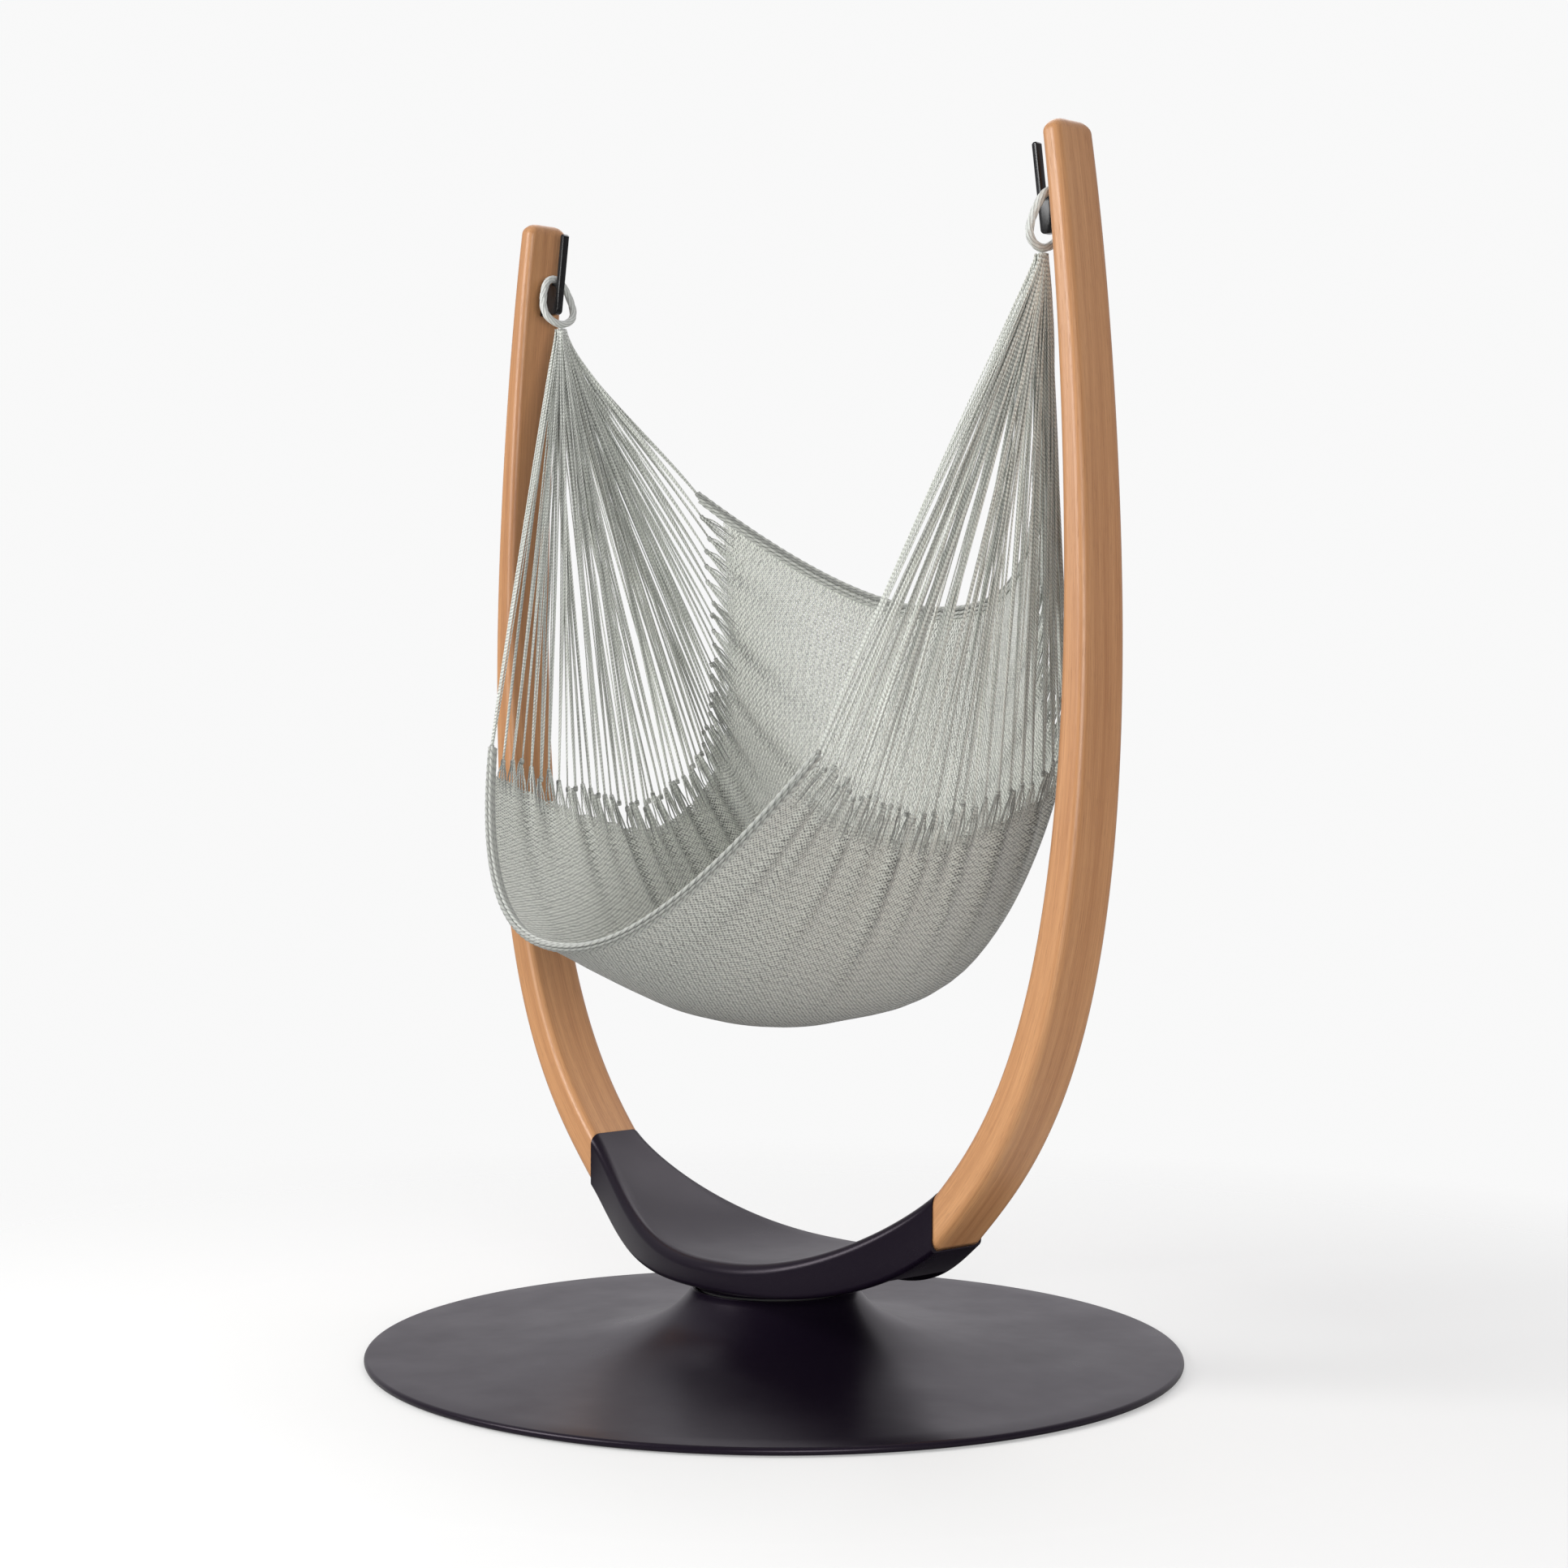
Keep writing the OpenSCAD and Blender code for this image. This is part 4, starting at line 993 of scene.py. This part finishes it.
# %% Seat cloth
cloth_t = 1.8 * MM
columns = bundles * 6
v_line = np.linspace(0, 1, columns + 1)
inset_steps = np.concatenate([[0], np.cumsum(1.075 ** np.arange(44))])
inset_steps = inset_steps / inset_steps[-1]
grid_v = np.broadcast_to(v_line[:, None], (columns + 1, 2 * len(inset_steps) - 1))
wide = half_at(v_line) - tooth
half_run = wide[:, None] * (1 - inset_steps[None, :])
signed = np.concatenate([-half_run, half_run[:, -2::-1]], axis=1)
grid_u = np.sign(signed) * u_at(np.abs(signed), grid_v)
from_end = half_at(grid_v) - np.abs(signed)
middle = cloth(grid_u, grid_v)
normal = cloth_normal(grid_u, grid_v)
middle = middle + normal * pleats(from_end, grid_v)[..., None]
# Openness opens holes in the weave, and the finish also colours the cloth darker where it is open, as painted
# shade.
openness = 0.10 + 0.42 * ease(0.45, 0.75, grid_v) * ease(0.05, 0.3, from_end)
openness = openness * (1 - 0.6 * ease(0.0, 0.05, 0.05 - np.minimum(grid_v, 1 - grid_v)))
openness = openness + 0.55 * ease(0.0, 0.022, tooth + 0.022 - from_end)
# The third part of the cloth's lay is how deep a crease is there, so that the finish paints shade into the creases
lay = np.stack([signed, grid_v * cloth_long, creases(from_end, grid_v)], -1)

seat = Piece()
rows, cols = signed.shape
upper_side = (middle + normal * cloth_t / 2).reshape(-1, 3)
lower_side = (middle - normal * cloth_t / 2).reshape(-1, 3)
top_faces = grid_faces(rows, cols)
side_count = rows * cols
ring = np.concatenate([np.arange(cols), np.arange(2 * cols - 1, side_count, cols),
                       np.arange(side_count - 2, side_count - cols - 1, -1),
                       np.arange(side_count - 2 * cols, 0, -cols)])
following = np.roll(ring, -1)
rim_faces = np.stack([following, ring, ring + side_count, following + side_count], -1)
seat.add(
    np.concatenate([upper_side, lower_side]),
    np.concatenate([top_faces[:, ::-1], top_faces + side_count, rim_faces[:, ::-1]]),
    np.concatenate([lay.reshape(-1, 3)] * 2),
    np.concatenate([openness.ravel()] * 2),
)
seat_cloth = seat.make("seat_cloth", "hammock", woven_cloth, ["hammock_bed"], "woven_cloth")

# %% [markdown]
# Each knot gathers seven yarns of the cloth. They leave the weave side by side and close up
# towards the knot, so that light shows between one gather and the next.

# %% Gathered yarns and knots
def plied(turn, plies=2, depth=0.2):
    """Profile of a twisted cord: how far each side of it stands out along its length"""
    return lambda angle, length: 1 - depth + depth * np.abs(
        np.cos(plies / 2 * angle + math.pi * length / turn))


yarns = 7
gather = Piece()
for k in range(bundles):
    v0 = knot_v[k]
    for j in range(yarns):
        side = (j - (yarns - 1) / 2) / yarns
        wide_steps = np.array([-0.004, 0.004, 0.012, 0.021, 0.030, 0.039, 0.048, 0.058, 0.072]) + knot_back[k]
        close = np.interp(wide_steps - knot_back[k], [-0.004, 0.004, 0.018, 0.038, 0.07],
                          [0.18, 0.34, 0.74, 0.98, 1.02])
        close = close + np.sin(wide_steps * 180 + 2.4 * j) * 0.08
        v = np.clip(v0 + side / bundles * close, 0.001, 0.999)
        u = u_at(np.maximum(0, half_at(v) - wide_steps), v)
        face = 1 if j % 2 else -1
        lift = pleats(np.maximum(wide_steps, tooth), v) + face * MM * np.interp(
            wide_steps, [0, 0.012, 0.04, 0.06, 0.085], [1.4, 2.2, 1.6, 0.9, 0.1])
        path = cloth(u, v) + cloth_normal(u, v) * lift[:, None]
        thick = np.array([1.1, 1.15, 1.2, 1.25, 1.25, 1.2, 1.1, 0.9, 0.4]) * MM
        add_tubes(gather, path, thick, 6, tone=chance.uniform(0.28, 1.05))
print("gathered yarns", bundles * yarns)

# %% [markdown]
# The strings run from the whipping under the loop to the knots. A bundle is five yarns, or
# eight at a corner, that separate a little on the way, and no two bundles hang quite alike.

# %% Strings
loop_x = prong_face(hook_h) + 11 * MM
loop_lean = 0.25
binding_low, binding_top = (c.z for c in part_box("right_binding"))
apex = np.array([loop_x - loop_lean * 63 * MM, 0, binding_top - 1.5 * MM])
clump = chance.uniform(0, 6.3, 3)
clump_waves = ((1, 31), (0.8, 57), (0.6, 90))
rings_per_string = 26
share = np.linspace(0, 1, rings_per_string)
strings = Piece()
end_line = cloth(1.0, np.linspace(0, 1, 101))
end_tangent = unit(np.gradient(end_line, axis=0))


def string_path(knot, start, push, sway):
    """A string that leaves the whipping close to its neighbours and falls to its knot"""
    fall = knot - start
    neck = start + np.array([0, 0, -0.045]) + 0.02 * unit(fall)
    line = bezier([start, neck, mix(start, knot, 0.55), knot], share)
    return line + np.sin(math.pi * share)[:, None] ** 1.2 * push + sway


for k in range(bundles):
    rank = (k + 0.5) / bundles
    tangent = end_tangent[int(rank * 100)]
    outward = unit(np.cross(tangent, apex - knots[k]))
    drift = sum(size * math.sin(often * rank + c) for (size, often), c in zip(clump_waves, clump))
    bundle_push = tangent * (5.5 * MM * drift + chance.normal(0, 3 * MM)) + outward * chance.normal(0, 5 * MM)
    count = 8 if k in (0, bundles - 1) else 5
    for j in range(count):
        turn = 2 * math.pi * (j / count) + chance.uniform(0, 6.3)
        across = mix(-7.6, 7.6, rank) + chance.uniform(-0.6, 0.6)
        over = chance.choice([-1, 1]) * math.sqrt(72 - across**2)
        start = apex + np.array([over, across, chance.uniform(-3, 0)]) * MM
        spread_out = (tangent * math.cos(turn) + outward * math.sin(turn)) * (1.3 + 0.25 * (count - 4)) * MM
        slack = tangent * chance.normal(0, 1.6 * MM) + outward * chance.normal(0, 1.8 * MM)
        waver = np.sin(share * chance.uniform(8, 16) + turn) * 0.5 * MM * np.sin(math.pi * share)
        parted = ease(0.0, 0.25, share) * (1 - 0.45 * ease(0.93, 1.0, share))
        sway = spread_out * parted[:, None] + waver[:, None] * outward
        path = string_path(knots[k], start, bundle_push + slack, sway)
        add_tubes(strings, path, chance.uniform(1.0, 1.3) * MM, 6, tone=chance.uniform(0.50, 1.12))
    down = unit(knots[k] - apex)
    sideways = unit(np.cross(down, outward))
    for ring_no in range(4):
        centre = knots[k] + down * (ring_no * 2.1 - 3.5) * MM
        turn = np.arange(12) * 2 * math.pi / 12
        reach = (2.9 - 0.35 * abs(ring_no - 1.5)) * MM
        wrap = centre + reach * (np.cos(turn)[:, None] * sideways + np.sin(turn)[:, None] * outward)
        add_tubes(strings, wrap, 1.15 * MM, 6, reference=tuple(down),
                  tone=chance.uniform(0.25, 0.75), closed=True)
print("strings", bundles * 5 + 6, "a side")

# %% Both sides
for side, strung, gathered in (("right", strings, gather), ("left", strings.mirrored(), gather.mirrored())):
    strung.make(side + "_string_fan", "hammock", yarn, [side + "_strings"], "yarn")
    gathered.make(side + "_gathers", "hammock", yarn, (), "yarn")

# %% [markdown]
# The front and back rims are corded: seven twisted cords lie side by side and wrap round the
# raw edge of the cloth. They are real twisted tubes, since this edge is seen close up.

# %% Selvedges
cord_turn = 14 * MM
rim_cords = [(0, 0), (4.0, 3.6), (4.0, -3.6), (9.2, 3.2), (9.2, -3.2), (14.4, 2.6), (14.4, -2.6)]
rims = (("front", 0.0, 1, "front_edge_cord"), ("back", 1.0, -1, "back_edge_cord"))
for name, v_edge, inward_sign, node in rims:
    rim_piece = Piece()
    rim_count = 560
    run = np.linspace(-1, 1, rim_count) * (float(half_at(v_edge)) - 3 * MM)
    u = np.sign(run) * u_at(np.abs(run), np.full(rim_count, v_edge))
    for inset, proud in rim_cords:
        v = v_edge + inward_sign * inset * MM / cloth_long
        n = cloth_normal(u, np.full(rim_count, v))
        path = cloth(u, np.full(rim_count, v)) + n * proud * MM
        add_tubes(rim_piece, path, 2.9 * MM, 8, reference=n, profile=plied(cord_turn, 2, 0.34),
                  tone=chance.uniform(0.34, 0.85))
    rim_piece.make(name + "_selvedge", "hammock", selvedge_cord, [node], "selvedge_cord")

# %% [markdown]
# A rope loop carries each end. It rides over the hook's round bridge and comes together
# above the whipping, which is a tight coil of yarn round the gathered strings.

# %% Loops and whippings
loop_r = 6 * MM
rise = seat_r + 0.4 * MM + loop_r
loop_half = [(0, rise), (9 * MM, rise - 2.5 * MM), (17 * MM, 3 * MM), (24 * MM, -10 * MM),
             (29 * MM, -26 * MM), (30 * MM, -40 * MM), (25 * MM, -52 * MM), (13 * MM, -60 * MM)]
around_loop = loop_half + [(0, -63 * MM)] + [(-y, z) for y, z in loop_half[:0:-1]]
loop_count = 200
loop_t = np.arange(loop_count) / loop_count
flat_loop = through(around_loop + [around_loop[0]], loop_t)
loop_path = np.stack([loop_x + loop_lean * flat_loop[:, 1], flat_loop[:, 0], swing_z + flat_loop[:, 1]], -1)


def braided(angle, length):
    """Profile of a braided rope: two sets of strands that cross"""
    left = np.cos(4 * angle + 2 * math.pi * length / (18 * MM))
    right = np.cos(4 * angle - 2 * math.pi * length / (18 * MM))
    return 0.93 + 0.07 * np.maximum(left, right)


loop = Piece()
add_tubes(loop, loop_path, loop_r, 24, profile=braided, closed=True)
whipping = Piece()
turns = 9
coil_t = np.linspace(0, 1, turns * 20)
coil = np.stack([apex[0] + 5.4 * MM * np.cos(coil_t * turns * 2 * math.pi),
                 5.4 * MM * np.sin(coil_t * turns * 2 * math.pi),
                 mix(binding_low + 2 * MM, binding_top - 2 * MM, coil_t)], -1)
add_tubes(whipping, coil, 1.5 * MM, 8, reference=(0, 0, 1))
core_z = np.linspace(binding_low + 1 * MM, binding_top - 0.5 * MM, 8)
core = np.stack([np.full(8, apex[0]), np.zeros(8), core_z], -1)
add_tubes(whipping, core, np.array([4.6, 5.0, 5.2, 5.2, 5.2, 5.2, 5.0, 4.0]) * MM, 24, tone=0.7)
for side, rope, wrap in (("right", loop, whipping), ("left", loop.mirrored(), whipping.mirrored())):
    rope.make(side + "_rope_loop", "hammock", loop_rope, [side + "_loop"], "loop_rope")
    wrap.make(side + "_whipping", "hammock", yarn, [side + "_binding"], "yarn")

# %% [markdown]

# %% [markdown]
# The floor is a plain pale disc. It fades out before it reaches the horizon, so that the
# background stays one even tone, as on a sheet of studio paper.

# %% Floor
floor_r = 4.0
floor_ring = [(floor_r * math.cos(a), floor_r * math.sin(a), 0) for a in np.radians(np.arange(0, 360, 5))]
floor_mesh = bpy.data.meshes.new("floor")
floor_mesh.from_pydata(floor_ring, [], [tuple(range(len(floor_ring)))])
floor = bpy.data.objects.new("floor", floor_mesh)
bpy.context.collection.objects.link(floor)
pale_floor, tree, shader = new_material("pale floor", 0.9, Specular_IOR_Level=0.0,
                                        Base_Color=(0.62, 0.625, 0.61, 1))
shader["Emission Color"].default_value = (1, 1, 1, 1)
floor_seen = tree.nodes.new("ShaderNodeLightPath").outputs["Is Camera Ray"]
feed(tree, shader["Emission Strength"], maths(tree, "MULTIPLY", floor_seen, 0.34))
floor_place = tree.nodes.new("ShaderNodeTexCoord").outputs["Object"]
from_middle = tree.nodes.new("ShaderNodeVectorMath")
from_middle.operation = "LENGTH"
feed(tree, from_middle.inputs[0], floor_place)
feed(tree, shader["Alpha"], spread(tree, from_middle.outputs["Value"], 1.0, 2.2, 1.0, 0.0))
floor_mesh.materials.append(pale_floor)
